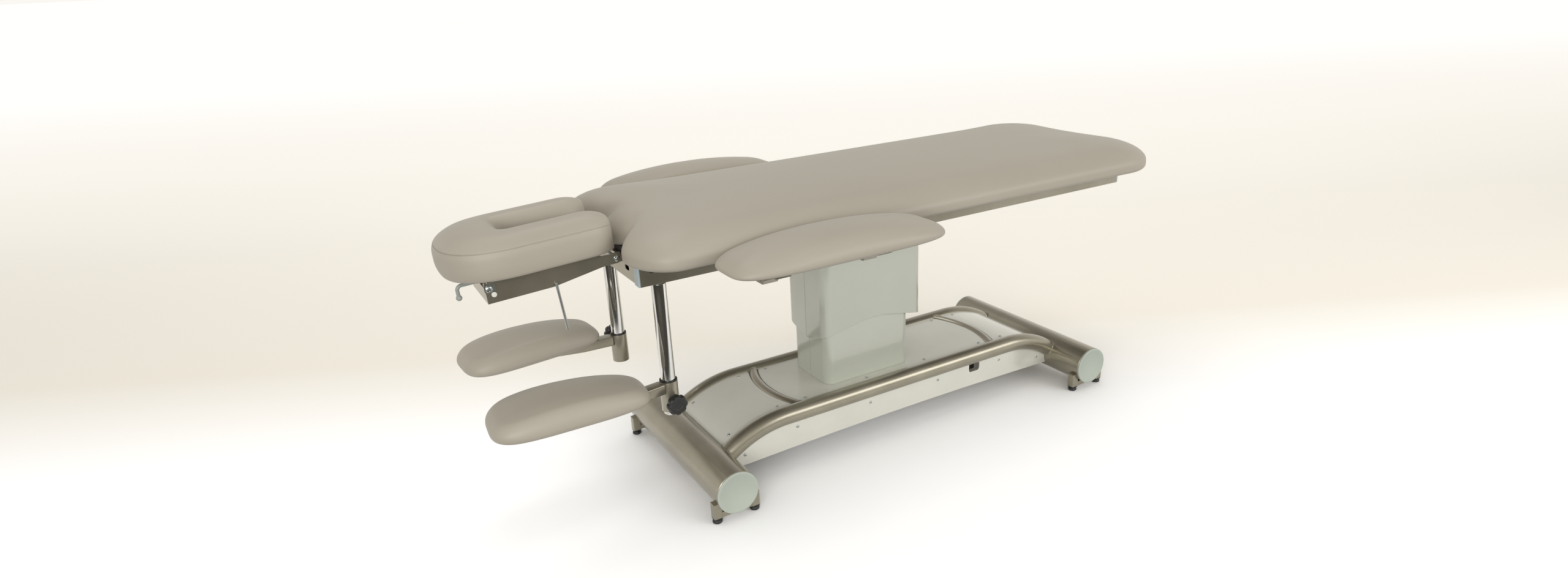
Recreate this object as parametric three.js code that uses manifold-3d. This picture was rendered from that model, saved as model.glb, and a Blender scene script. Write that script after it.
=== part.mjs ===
// Electric massage table: a welded base on levelling feet, one telescopic lift column in half shell
// covers, a steel top frame with a long cushion, a tilting headrest with a face hole, two side arm
// rests that slide out, and two arm rests that swing on posts at the head end.
// Millimetres. +X points to the foot end, -Y to the side with the cable notch, +Z up, floor at zero.

import * as THREE from "three";
import { mergeVertices } from "three/addons/utils/BufferGeometryUtils.js";
import Module from "manifold-3d";

const wasm = await Module();
wasm.setup();

// General sizes
const degree = Math.PI / 180;
const clearance = 0.3;
const overrun = 30;
const weldTolerance = 0.001;
const fineArc = 15;
const tubeArc = 9;
const smallArc = 5;
const padSides = 32;
const cornerArc = 2;

// Cross tubes, their legs and end caps
const baseTubeRadius = 55;
const baseTubeWall = 3;
const baseTubeSpacing = 1207.2;
const baseTubeHeight = 74.2;
const baseTubeLength = 563.2;
const capThickness = 5;
const capEdge = 1.5;
const capSpigotDepth = 12;
const legSpread = 101.4;
const legInset = 17.8;
const legSize = 22;
const legLength = 40;
const legBarHeight = 14;
const legBarWidth = 18;

// Levelling feet
const footHeight = 13.7;
const footDiscRadius = 13;
const footSoleRadius = 11;
const footSoleEdge = 2;
const footDiscTop = 6;
const footDomeRadius = 9.5;
const footDomeTop = 9;
const footCollarRadius = 6;
const footCollarFoot = 10.5;
const footStemRadius = 4;
const footStemLength = 18;

// Side tubes, bent down into the cross tubes
const sideTubeRadius = 24.3;
const sideTubeWall = 2.5;
const sideTubePlace = 145;
const sideTubeHeight = 153;
const bendRadius = 300;
const bendEndInset = 29.8;
const bendEndRise = 11.9;
const bendSteps = 5;

// Bowed crossbars
const crossbarRadius = 16;
const crossbarWall = 2;
const crossbarRise = 3;
const crossbarInset = 238.6;
const crossbarBowRadius = 290;
const crossbarSteps = 6;

// Sheet covers on the base
const sheetThickness = 1.5;
const sheetRise = 13;
const sheetBarGap = 1;
const sheetFlatRun = 50;

// Skirt plates under the side tubes
const skirtThickness = 2;
const skirtOffset = 1;
const skirtHeadInset = 85.6;
const skirtFootInset = 40;
const skirtLow = 50;
const skirtArch = 9;
const notchCentre = 257;
const notchWidth = 40;
const notchLow = 101;
const notchCorner = 8;

// Lift column: profiles, plates and actuator
const columnX = -79.5;
const profileLength = 150;
const profileWidth = 120;
const profileCorner = 12;
const profileWall = 5;
const profileGap = 0.4;
const basePlateLength = 240;
const basePlateThickness = 8;
const basePlateRise = 3;
const outerProfileTop = 440;
const middleProfileLow = 220;
const middleProfileTop = 516;
const innerProfileLow = 279;
const topPlateThickness = 8;
const topPlateMargin = 6;
const actuatorOffset = 28;
const actuatorRadius = 25;
const actuatorWall = 3;
const actuatorTop = 455;
const actuatorRodRadius = 14;
const actuatorRodLow = 277;
const motorRadius = 22;
const motorLength = 120;
const motorNeckRadius = 14;
const motorNeckLength = 16;

// Column covers in two half shells each
const coverWall = 3;
const coverCorner = 25;
const coverSlit = 0.6;
const lowerCoverX = -79.5;
const lowerCoverLength = 279;
const lowerCoverWidth = 177.4;
const lowerCoverTop = 460;
const upperCoverX = -65;
const upperCoverLength = 326;
const upperCoverWidth = 194;
const upperCoverLow = 311;
const upperCoverWave = 26;

// Top frame
const railWidth = 25;
const railHeight = 45;
const railWall = 2;
const railLow = 597;
const railPlace = 165;
const railHead = -750;
const railFoot = 775.6;
const footMemberInset = 12;
const memberHolePlace = 100;
const memberHoleRise = 27;
const memberHoleLength = 26;
const memberHoleWidth = 12;

// Board under the cushion
const boardThickness = 18;
const boardWidth = 450;
const boardHeadInset = 8;
const boardFootInset = 12;
const boardCorner = 90;

// Main cushion
const cushionWidth = 626;
const cushionOverhang = 44.4;
const cushionFootCorner = 140;
const cushionLowerRadius = 12;
const cushionWall = 10;
const cushionRollReach = 110;
const cushionRollRise = 44;
const cushionCrown = 17;
const cushionDrawIn = 3;
const tongueTip = -770;
const scallopX = -735;
const scallopTopX = -776;
const scallopPlace = 75;
const lobeTip = -788;
const lobePlace = 195;
const shoulderX = -700;
const cushionCoreInset = 250;

// Posts under the rails at the head end
const postX = -705;
const postPlace = 166;
const postRadius = 17.5;
const postWall = 2;
const postLow = 270;
const farPostRaise = 13;
const postPlugEdge = 3;

// Front arm rests on the posts
const sleeveLow = 281;
const sleeveHeight = 75;
const sleeveRadius = 21.2;
const sleeveWall = 1.9;
const bushGap = 0.3;
const bushFlange = 3;
const armBarTop = 354;
const armBarHeight = 25;
const armBarWidth = 30;
const armBarWall = 2;
const armBarReach = 265;
const armBarTaper = 13;
const armBarTaperRun = 170;
const armPlateThickness = 4;
const armPlateProud = 1;
const nearArmSwing = 8.4;
const farArmSwing = 2.2;
const farArmRaise = 5;
const armPlateLength = 150;
const armPlateWidth = 70;
const knobDrop = 48;
const farKnobDrop = 13;
const knobRadius = 25;
const knobLobeDepth = 2.5;
const knobLobes = 8;
const knobThickness = 20;
const knobBossRadius = 9;
const knobBossLength = 9;
const knobStemRadius = 4;
const knobStemGap = 0.5;
const frontPadLength = 345;
const frontPadWidth = 170;
const nearPadDistance = 246;
const farPadDistance = 226;
const frontPadLowerRadius = 19;
const frontPadWall = 2;
const frontPadRollReach = 24;
const frontPadRollRise = 29;
const frontPadCrown = 13;
const frontPadFallShare = 0.37;
const frontPadPower = 3.6;
const frontPadTaperShare = 0.14;
const frontPadTurn = 4.2;

// Side arm rests
const sideBarHeadX = -552;
const sideBarFootX = -299;
const sideBarWidth = 36;
const sideBarThickness = 6;
const sideBarInner = 190;
const sideBarBend = 408;
const sideBarBendRun = 22;
const sideBarOuter = 466;
const socketWall = 3;
const socketLength = 112;
const socketDrop = 2;
const sidePlateThickness = 4;
const sidePlateHead = -600;
const sidePlateFoot = -255;
const sidePlateInner = 345;
const sidePlateOuter = 472;
const sidePadX = -388;
const farSidePadShift = 34;
const sidePadPlace = 405.5;
const sidePadLength = 536;
const sidePadWidth = 185;
const sidePadRise = 71;
const sidePadLowerRadius = 12;
const sidePadWall = 2;
const sidePadRollReach = 32;
const sidePadRollRise = 27;
const sidePadCrown = 18;
const sidePadFallShare = 0.48;
const sidePadPower = 4;
const sidePadTaperShare = 0;

// Headrest: hinge, frame, cushion, lever and rod, all measured from the hinge axis
const hingeX = -762;
const hingeRise = 44;
const hingeZ = railLow + hingeRise;
const headrestTilt = 3.4;
const hingeShaftRadius = 4;
const hingeHoleGap = 0.4;
const hingeHeadRadius = 6;
const hingeHeadLength = 5;
const earThickness = 6;
const earRadius = 11;
const framePlatePlace = 67;
const framePlateThickness = 6;
const frameOuterX = -294;
const frameLowZ = -27;
const frameKneeX = -150;
const frameNeckX = -34;
const frameNeckLowZ = -11.5;
const frameNeckHighZ = 13;
const frameRiseX = -70;
const flangeThickness = 3;
const flangeTopZ = 35.2;
const flangeReach = 118;
const flangeInnerX = -80;
const crossPlateLength = 45;
const endPlateTopZ = 8;
const pinX = -278;
const pinZ = -8;
const pinRadius = 3.5;
const pinHeadRadius = 6;
const pinHeadLength = 3;
const headLowZ = 35.5;
const headHeight = 89;
const headOuterX = -368;
const headInnerX = -8;
const headWidth = 280;
const headNoseLength = 165;
const nosePower = 2.5;
const noseRiseShare = 0.09;
const headArmEnd = 60;
const holeEndX = -221;
const holeHalfWidth = 40;
const holeCorner = 18;
const holePower = 6;
const leverPivotX = -268;
const leverPivotZ = 22;
const leverPlace = 50;
const leverLugThickness = 4;
const leverLugPlace = 34;
const leverRadius = 4;
const leverReach = 77;
const leverBendRadius = 6;
const leverDrop = 26;
const leverBallRadius = 6.5;
const rodPivotX = -146;
const rodPivotZ = -20;
const rodRadius = 3.2;
const rodPlace = 77.5;
const rodLength = 112;
const rodLean = 2.4;

// Finishes
const steelFinish = finish(0x96907f, 0.35, 0.8);
const sheetFinish = finish(0xb4b6a8, 0.4, 0.3);
const capFinish = finish(0xaeb6aa, 0.5, 0);
const coverFinish = finish(0xbabcb0, 0.3, 0);
const alloyFinish = finish(0xa8aaa8, 0.4, 0.9);
const chromeFinish = finish(0xd0d0cc, 0.12, 1);
const blackFinish = finish(0x151515, 0.5, 0);
const woodFinish = finish(0xb08e62, 0.7, 0);
const upholsteryFinish = finish(0xa8a092, 0.55, 0);
const whiteFinish = finish(0xe8e8e0, 0.5, 0);

function finish(color, roughness, metalness) {
  return new THREE.MeshStandardMaterial({ color, roughness, metalness });
}

// Volume inside a closed mesh, negative if its faces point inwards
function signedVolume(positions, index) {
  const a = new THREE.Vector3();
  const b = new THREE.Vector3();
  const c = new THREE.Vector3();
  let sum = 0;
  for (let i = 0; i < index.length; i += 3) {
    a.fromArray(positions, index[i] * 3);
    b.fromArray(positions, index[i + 1] * 3);
    c.fromArray(positions, index[i + 2] * 3);
    sum += a.dot(b.cross(c));
  }
  return sum / 6;
}

// One closed mesh: shared corners merged, collapsed triangles dropped, faces outwards
function closed(geometry) {
  const bare = geometry.index ? geometry.toNonIndexed() : geometry.clone();
  bare.deleteAttribute("normal");
  bare.deleteAttribute("uv");
  const merged = mergeVertices(bare, weldTolerance);
  const positions = merged.attributes.position.array;
  const source = merged.index.array;
  const index = [];
  for (let i = 0; i < source.length; i += 3) {
    const [a, b, c] = [source[i], source[i + 1], source[i + 2]];
    if (a !== b && b !== c && c !== a) {
      index.push(a, b, c);
    }
  }
  if (signedVolume(positions, index) < 0) {
    index.reverse();
  }
  merged.setIndex(index);
  return merged;
}

function solid(geometry) {
  const shell = closed(geometry);
  const vertProperties = new Float32Array(shell.attributes.position.array);
  const triVerts = new Uint32Array(shell.index.array);
  return new wasm.Manifold(new wasm.Mesh({ numProp: 3, vertProperties, triVerts }));
}

function shellOf(body) {
  const mesh = body.getMesh();
  const geometry = new THREE.BufferGeometry();
  geometry.setAttribute("position", new THREE.BufferAttribute(mesh.vertProperties, 3));
  geometry.setIndex(new THREE.BufferAttribute(mesh.triVerts, 1));
  return geometry;
}

function join(first, ...others) {
  return shellOf(others.reduce((body, other) => body.add(solid(other)), solid(first)));
}

function cut(first, ...tools) {
  return shellOf(tools.reduce((body, tool) => body.subtract(solid(tool)), solid(first)));
}

function block(x, y, z) {
  const sizes = [x, y, z].map(([low, high]) => high - low);
  const middle = [x, y, z].map(([low, high]) => (low + high) / 2);
  return new THREE.BoxGeometry(...sizes).translate(...middle);
}

// Outline drawn in X and Y, raised from low to high
function raised(shape, low, high, steps = cornerArc) {
  const settings = { depth: high - low, bevelEnabled: false, curveSegments: steps };
  return new THREE.ExtrudeGeometry(shape, settings).translate(0, 0, low);
}

// Outline drawn in X and Z, carried along Y from low to high
function alongY(shape, low, high, steps = cornerArc) {
  return raised(shape, -high, -low, steps).rotateX(Math.PI / 2);
}

// Outline drawn in Y and Z, carried along X from low to high
function alongX(shape, low, high, steps = cornerArc) {
  return raised(shape, low, high, steps).rotateX(Math.PI / 2).rotateZ(Math.PI / 2);
}

function outline(points) {
  return new THREE.Shape(points.map(([x, y]) => new THREE.Vector2(x, y)));
}

function disc(radius, x = 0, y = 0) {
  return new THREE.Shape().absarc(x, y, radius, 0, 2 * Math.PI);
}

function ring(radius, bore) {
  const shape = disc(radius);
  shape.holes.push(new THREE.Path().absarc(0, 0, bore, 0, 2 * Math.PI, true));
  return shape;
}

function roundedRectangle(length, width, corner) {
  const x = length / 2 - corner;
  const y = width / 2 - corner;
  const shape = new THREE.Shape();
  shape.absarc(x, y, corner, 0, Math.PI / 2);
  shape.absarc(-x, y, corner, Math.PI / 2, Math.PI);
  shape.absarc(-x, -y, corner, Math.PI, 1.5 * Math.PI);
  shape.absarc(x, -y, corner, 1.5 * Math.PI, 2 * Math.PI);
  return shape;
}

function rectangularTube(length, width, corner, wall) {
  const shape = roundedRectangle(length, width, corner);
  shape.holes.push(roundedRectangle(length - 2 * wall, width - 2 * wall, corner - wall / 2));
  return shape;
}

// A piece turned about the vertical axis from pairs of radius and height
function turned(profile, sides) {
  const points = profile.map(([radius, height]) => new THREE.Vector2(radius, height));
  return new THREE.LatheGeometry(points, sides).rotateX(Math.PI / 2);
}

// A path through stations, so that a straight stretch needs no rings between its ends
class StationPath extends THREE.Curve {
  constructor(points, tangents) {
    super();
    this.points = points;
    this.tangents = tangents;
  }
  getPoint(share) {
    return this.points[Math.round(share * (this.points.length - 1))].clone();
  }
  getPointAt(share) {
    return this.getPoint(share);
  }
  getTangent(share) {
    return this.tangents[Math.round(share * (this.tangents.length - 1))].clone();
  }
  getTangentAt(share) {
    return this.getTangent(share);
  }
}

function swept(shape, path, steps = tubeArc) {
  const settings = { steps: path.points.length - 1, extrudePath: path, curveSegments: steps };
  return new THREE.ExtrudeGeometry(shape, settings);
}

// Rows of points joined into a closed skin; flat gives the plane in which the end rows are filled
function loft(rows, flat) {
  const count = rows[0].length;
  const index = [];
  for (let row = 0; row + 1 < rows.length; row += 1) {
    for (let i = 0; i < count; i += 1) {
      const a = row * count + i;
      const b = row * count + (i + 1) % count;
      index.push(a, b, b + count, a, b + count, a + count);
    }
  }
  const fill = (row, along) => {
    const contour = rows[row].map(flat);
    const turn = Math.sign(THREE.ShapeUtils.area(contour));
    for (const face of THREE.ShapeUtils.triangulateShape(contour, [])) {
      const same = Math.sign(THREE.ShapeUtils.area(face.map((i) => contour[i]))) === turn;
      const corners = face.map((i) => row * count + i);
      index.push(...(same === along ? corners : corners.reverse()));
    }
  };
  fill(0, false);
  fill(rows.length - 1, true);
  const geometry = new THREE.BufferGeometry().setFromPoints(rows.flat());
  geometry.setIndex(index);
  return geometry;
}

// A cushion from its plan: rings step in from the outline towards a core line, round a tight lower
// edge and a wide roll above it, and rise to the crown. Over the roll the rings turn into those of
// the top plan. Its thickness can fall towards both ends
function cushion(plan, core, low, form, topPlan = plan) {
  const edgeAngles = [0, 30, 60, 90];
  const crownShares = [0.3, 0.65];
  const { lowerRadius, wall, rollReach, rollRise, crown, fallShare } = form;
  const endX = Math.max(...plan.map((point) => Math.abs(point.x)));
  const depth = Math.min(...plan.map((point) => point.distanceTo(core(point))));
  const ringAt = (inset, height) => plan.map((outer, i) => {
    const point = outer.clone().lerp(topPlan[i], THREE.MathUtils.smoothstep(inset, 0, rollReach));
    const centre = core(point);
    const arm = point.clone().sub(centre);
    const kept = (arm.length() - inset) / arm.length();
    const x = centre.x + arm.x * kept;
    return new THREE.Vector3(x, centre.y + arm.y * kept, low + height * (1 - fallShare * (x / endX) ** 2));
  });
  const rollLow = lowerRadius + wall;
  const crownRise = (inset) => crown * (1 - (1 - inset / depth) ** 2);
  const rows = [];
  for (const angle of [...edgeAngles].reverse()) {
    const inset = lowerRadius * (1 - Math.cos(angle * degree));
    rows.push(ringAt(inset, lowerRadius * (1 - Math.sin(angle * degree))));
  }
  for (const angle of edgeAngles) {
    const inset = rollReach * (1 - Math.cos(angle * degree));
    rows.push(ringAt(inset, rollLow + rollRise * Math.sin(angle * degree) + crownRise(inset)));
  }
  for (const share of crownShares) {
    const inset = rollReach + share * (depth - rollReach);
    rows.push(ringAt(inset, rollLow + rollRise + crownRise(inset)));
  }
  return loft(rows, (point) => new THREE.Vector2(point.x, point.y));
}

// An oval of raised power: flatter sides and tighter corners as the power grows, and with a taper
// it gets wider towards the head end
function ovalPlan(length, width, power, taperShare, count) {
  const points = [];
  for (let i = 0; i < count; i += 1) {
    const angle = 2 * Math.PI * (i + 0.5) / count;
    const share = (value) => Math.sign(value) * Math.abs(value) ** (2 / power);
    const along = share(Math.cos(angle));
    points.push(new THREE.Vector2(
      length / 2 * along,
      width / 2 * share(Math.sin(angle)) * (1 - taperShare * along),
    ));
  }
  return points;
}

function padCore(length, width) {
  const reach = (length - width) / 2;
  return (point) => new THREE.Vector2(THREE.MathUtils.clamp(point.x, -reach, reach), 0);
}

const model = new THREE.Group();
const headrest = new THREE.Group();
headrest.position.set(hingeX, 0, hingeZ);
headrest.rotation.y = -headrestTilt * degree;
model.add(headrest);

function add(name, geometry, material, parent = model) {
  const mesh = new THREE.Mesh(closed(geometry), material);
  mesh.name = name;
  parent.add(mesh);
  return mesh;
}

const sides = [["near", -1], ["far", 1]];
const ends = [["head", -1], ["foot", 1]];
const baseTubeX = baseTubeSpacing / 2;
const legPlace = baseTubeLength / 2 - legInset;
const legLow = footHeight + clearance;

// Cross tubes with two welded legs under each end
function crossTube(x) {
  const half = baseTubeLength / 2;
  const bore = baseTubeRadius - baseTubeWall;
  const tube = alongY(ring(baseTubeRadius, bore), -half, half, fineArc);
  const hollow = alongY(disc(bore), -half - overrun, half + overrun, fineArc);
  const tubeZ = baseTubeHeight;
  const supports = [];
  for (const [, side] of sides) {
    for (const [, end] of ends) {
      const legX = end * legSpread / 2;
      const leg = block(
        [legX - legSize / 2, legX + legSize / 2],
        [side * legPlace - legSize / 2, side * legPlace + legSize / 2],
        [legLow - tubeZ, legLow - tubeZ + legLength],
      );
      const stemHole = raised(disc(footStemRadius + clearance), 0, footStemLength + clearance, smallArc)
        .translate(legX, side * legPlace, legLow - tubeZ);
      supports.push(cut(leg, hollow, stemHole));
    }
    const bar = block(
      [-legSpread / 2, legSpread / 2],
      [side * legPlace - legBarWidth / 2, side * legPlace + legBarWidth / 2],
      [legLow - tubeZ + clearance, legLow - tubeZ + legBarHeight],
    );
    const room = [-1, 1].map((end) => raised(disc(footStemRadius + clearance), -overrun, overrun, smallArc)
      .translate(end * legSpread / 2, side * legPlace, legLow - tubeZ));
    supports.push(cut(bar, hollow, ...room));
  }
  return join(tube, ...supports).translate(x, 0, tubeZ);
}

for (const [end, sign] of ends) {
  add(`${end}_cross_tube`, crossTube(sign * baseTubeX), steelFinish);
}

// Flat end caps pushed into the cross tubes
function endCap() {
  const spigot = baseTubeRadius - baseTubeWall - clearance;
  return new THREE.LatheGeometry([
    [0, -capSpigotDepth],
    [spigot, -capSpigotDepth],
    [spigot, clearance],
    [baseTubeRadius, clearance],
    [baseTubeRadius, capThickness - capEdge],
    [baseTubeRadius - capEdge, capThickness],
    [0, capThickness],
  ].map(([radius, height]) => new THREE.Vector2(radius, height)), 2 * fineArc);
}

for (const [end, sign] of ends) {
  for (const [side, turn] of sides) {
    const cap = endCap();
    if (turn < 0) {
      cap.rotateX(Math.PI);
    }
    cap.translate(sign * baseTubeX, turn * baseTubeLength / 2, baseTubeHeight);
    add(`${end}_tube_cap_${side}`, cap, capFinish);
  }
}

// Levelling feet, screwed up into the legs
function levellingFoot() {
  return turned([
    [0, 0],
    [footSoleRadius, 0],
    [footDiscRadius, footSoleEdge],
    [footDiscRadius, footDiscTop],
    [footDomeRadius, footDomeTop],
    [footCollarRadius, footCollarFoot],
    [footCollarRadius, footHeight],
    [footStemRadius, footHeight],
    [footStemRadius, footHeight + footStemLength],
    [0, footHeight + footStemLength],
  ], 2 * smallArc);
}

for (const [end, sign] of ends) {
  for (const [side, turn] of sides) {
    for (const [place, shift] of [["a", -1], ["b", 1]]) {
      const foot = levellingFoot();
      foot.translate(sign * baseTubeX + shift * legSpread / 2, turn * legPlace, 0);
      add(`levelling_foot_${end}_${side}_${place}`, foot, blackFinish);
    }
  }
}

// Side tubes: straight in the middle, then an arc down into each cross tube
const bendDrop = sideTubeHeight - baseTubeHeight - bendEndRise;
const bendAngle = Math.acos(1 - bendDrop / bendRadius);
const straightHalf = baseTubeX - bendEndInset - bendRadius * Math.sin(bendAngle);

function sideTubePath() {
  const points = [];
  const tangents = [];
  for (const sign of [-1, 1]) {
    for (let step = 0; step <= bendSteps; step += 1) {
      const share = sign < 0 ? 1 - step / bendSteps : step / bendSteps;
      const angle = bendAngle * share;
      const x = sign * (straightHalf + bendRadius * Math.sin(angle));
      const z = sideTubeHeight - bendRadius * (1 - Math.cos(angle));
      points.push(new THREE.Vector3(x, 0, z));
      tangents.push(new THREE.Vector3(Math.cos(angle), 0, -sign * Math.sin(angle)));
    }
  }
  return new StationPath(points, tangents);
}

const crossTubeTools = ends.map(([, sign]) => alongY(
  disc(baseTubeRadius + clearance), -baseTubeLength / 2, baseTubeLength / 2, fineArc,
).translate(sign * baseTubeX, 0, baseTubeHeight));

function sideTubeTool(turn) {
  return swept(disc(sideTubeRadius + clearance), sideTubePath()).translate(0, turn * sideTubePlace, 0);
}

for (const [side, turn] of sides) {
  const section = ring(sideTubeRadius, sideTubeRadius - sideTubeWall);
  const tube = swept(section, sideTubePath()).translate(0, turn * sideTubePlace, 0);
  add(`side_tube_${side}`, cut(tube, ...crossTubeTools), steelFinish);
}

// Crossbars, bowed towards the ends of the base and notched round the side tubes
const crossbarX = baseTubeX - crossbarInset;
const crossbarZ = sideTubeHeight + crossbarRise;
const bowCentre = crossbarX - crossbarBowRadius;

function crossbar() {
  const reach = Math.asin(sideTubePlace / crossbarBowRadius);
  const points = [];
  const tangents = [];
  for (let step = 0; step <= crossbarSteps; step += 1) {
    const angle = reach * (2 * step / crossbarSteps - 1);
    points.push(new THREE.Vector3(
      bowCentre + crossbarBowRadius * Math.cos(angle),
      crossbarBowRadius * Math.sin(angle),
      crossbarZ,
    ));
    tangents.push(new THREE.Vector3(-Math.sin(angle), Math.cos(angle), 0));
  }
  const section = ring(crossbarRadius, crossbarRadius - crossbarWall);
  return swept(section, new StationPath(points, tangents), smallArc);
}

for (const [end, sign] of ends) {
  const bar = crossbar();
  if (sign < 0) {
    bar.rotateZ(Math.PI);
  }
  add(`crossbar_${end}`, cut(bar, sideTubeTool(-1), sideTubeTool(1)), steelFinish);
}

// Sheet covers: the middle one flat, the end ones following the bend down to the cross tubes
const sheetTop = sideTubeHeight + sheetRise;
const tubeHalfChord = Math.sqrt(sideTubeRadius ** 2 - (sheetRise - sheetThickness) ** 2);
const sheetHalfWidth = sideTubePlace - tubeHalfChord - clearance;
const barHalfChord = Math.sqrt(crossbarRadius ** 2 - (sheetRise - sheetThickness - crossbarRise) ** 2);

function bowTool(radius) {
  return raised(disc(radius, bowCentre), sheetTop - overrun, sheetTop + overrun, 2 * fineArc);
}

function middleSheet() {
  const reach = bowCentre + crossbarBowRadius - barHalfChord - sheetBarGap;
  const radius = reach - bowCentre;
  const edge = Math.asin(sheetHalfWidth / radius);
  const shape = new THREE.Shape();
  shape.absarc(bowCentre, 0, radius, -edge, edge);
  shape.absarc(-bowCentre, 0, radius, Math.PI - edge, Math.PI + edge);
  const hole = roundedRectangle(profileLength + 2 * clearance, profileWidth + 2 * clearance, profileCorner);
  const sheet = raised(shape, sheetTop - sheetThickness, sheetTop, smallArc);
  const room = raised(hole, sheetTop - overrun, sheetTop + overrun).translate(columnX, 0, 0);
  return cut(sheet, room);
}

function endSheet() {
  const upper = [];
  const lower = [];
  const start = straightHalf - sheetFlatRun;
  upper.push([start, sheetTop]);
  lower.push([start, sheetTop - sheetThickness]);
  for (let step = 0; step <= bendSteps; step += 1) {
    const angle = bendAngle * step / bendSteps;
    const place = (radius) => [
      straightHalf + radius * Math.sin(angle),
      sideTubeHeight - bendRadius + radius * Math.cos(angle),
    ];
    upper.push(place(bendRadius + sheetRise));
    lower.push(place(bendRadius + sheetRise - sheetThickness));
  }
  const strip = alongY(outline([...upper, ...lower.reverse()]), -sheetHalfWidth, sheetHalfWidth);
  const barSide = crossbarBowRadius + barHalfChord + sheetBarGap;
  return cut(strip, bowTool(barSide), crossTubeTools[1]);
}

add("base_sheet_middle", middleSheet(), sheetFinish);
add("base_sheet_foot", endSheet(), sheetFinish);
add("base_sheet_head", endSheet().rotateZ(Math.PI), sheetFinish);

// Skirt plates hanging below the side tubes, one of them with a notch for the cable
function skirt(turn) {
  const head = -baseTubeX + skirtHeadInset;
  const foot = baseTubeX - skirtFootInset;
  const middle = (head + foot) / 2;
  const half = (foot - head) / 2;
  const low = [];
  const archSteps = 8;
  for (let step = 0; step <= archSteps; step += 1) {
    const x = head + (foot - head) * step / archSteps;
    low.push([x, skirtLow + skirtArch * (1 - ((x - middle) / half) ** 2)]);
  }
  const high = sideTubePath().points
    .filter((point) => point.x > head && point.x < foot)
    .map((point) => [point.x, point.z]);
  const axisHeight = (x) => {
    const run = Math.max(Math.abs(x) - straightHalf, 0);
    return sideTubeHeight - bendRadius + Math.sqrt(bendRadius ** 2 - run ** 2);
  };
  const top = [[head, axisHeight(head)], ...high, [foot, axisHeight(foot)]];
  const inner = sideTubePlace + skirtOffset;
  const span = turn < 0 ? [-inner - skirtThickness, -inner] : [inner, inner + skirtThickness];
  const plate = alongY(outline([...low, ...top.reverse()]), ...span);
  const tools = [sideTubeTool(turn), ...crossTubeTools];
  if (turn < 0) {
    const notchHeight = sideTubeHeight - notchLow;
    const shape = roundedRectangle(notchWidth, 2 * notchHeight, notchCorner);
    tools.push(alongY(shape, span[0] - overrun, span[1] + overrun)
      .translate(notchCentre, 0, notchLow + notchHeight));
  }
  return cut(plate, ...tools);
}

for (const [side, turn] of sides) {
  add(`skirt_${side}`, skirt(turn), sheetFinish);
}

// Lift column: three nested profiles with their plates
const basePlateTop = sideTubeHeight + basePlateRise;
const plateHalfWidth = sideTubePlace - sideTubeRadius - clearance;

function profile(step, low, high) {
  const inset = 2 * step * (profileWall + profileGap);
  const section = rectangularTube(
    profileLength - inset, profileWidth - inset, profileCorner - inset / 4, profileWall,
  );
  return raised(section, low, high).translate(columnX, 0, 0);
}

function outerProfile() {
  const plate = block(
    [columnX - basePlateLength / 2, columnX + basePlateLength / 2],
    [-plateHalfWidth, plateHalfWidth],
    [basePlateTop - basePlateThickness, basePlateTop],
  );
  return join(plate, profile(0, basePlateTop - basePlateThickness / 2, outerProfileTop));
}

function innerProfile() {
  const reach = railPlace - railWidth / 2 - clearance;
  const halfLength = upperCoverLength / 2 + topPlateMargin;
  const plate = block(
    [upperCoverX - halfLength, upperCoverX + halfLength],
    [-reach, reach],
    [railLow, railLow + topPlateThickness],
  );
  return join(plate, profile(2, innerProfileLow, railLow + topPlateThickness / 2));
}

add("column_outer_profile", outerProfile(), alloyFinish);
add("column_middle_profile", profile(1, middleProfileLow, middleProfileTop), alloyFinish);
add("column_inner_profile", innerProfile(), alloyFinish);

// Linear actuator inside the profiles: closed tube and motor below, rod above
const actuatorLow = basePlateTop + clearance;
add("actuator_tube", turned([
  [0, actuatorLow],
  [actuatorRadius, actuatorLow],
  [actuatorRadius, actuatorTop],
  [actuatorRodRadius + clearance, actuatorTop],
  [actuatorRodRadius + clearance, actuatorTop - actuatorWall],
  [actuatorRadius - actuatorWall, actuatorTop - actuatorWall],
  [actuatorRadius - actuatorWall, actuatorLow + actuatorWall],
  [0, actuatorLow + actuatorWall],
], 2 * tubeArc).translate(columnX - actuatorOffset, 0, 0), alloyFinish);

const rodTop = railLow - clearance;
add("actuator_rod", turned([
  [0, actuatorRodLow],
  [actuatorRodRadius, actuatorRodLow],
  [actuatorRodRadius, rodTop],
  [0, rodTop],
], 2 * tubeArc).translate(columnX - actuatorOffset, 0, 0), chromeFinish);

add("lift_motor", turned([
  [0, actuatorLow],
  [motorNeckRadius, actuatorLow],
  [motorNeckRadius, actuatorLow + motorNeckLength],
  [motorRadius, actuatorLow + motorNeckLength],
  [motorRadius, actuatorLow + motorLength],
  [0, actuatorLow + motorLength],
], 2 * tubeArc).translate(columnX + actuatorOffset, 0, 0), blackFinish);

// Half shell covers: a wall round three sides, open at the seam
function halfPath(length, width, corner) {
  const endSteps = 3;
  const arcSteps = 4;
  const sideSteps = 8;
  const x = length / 2;
  const y = width / 2;
  const points = [];
  for (let step = 0; step < endSteps; step += 1) {
    points.push([x, coverSlit / 2 + (y - corner - coverSlit / 2) * step / endSteps]);
  }
  for (let step = 0; step <= arcSteps; step += 1) {
    const angle = Math.PI / 2 * step / arcSteps;
    points.push([x - corner + corner * Math.cos(angle), y - corner + corner * Math.sin(angle)]);
  }
  for (let step = 1; step <= sideSteps / 2; step += 1) {
    points.push([(x - corner) * (1 - 2 * step / sideSteps), y]);
  }
  const mirrored = points.slice(0, -1).map(([px, py]) => [-px, py]);
  return [...points, ...mirrored.reverse()];
}

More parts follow.
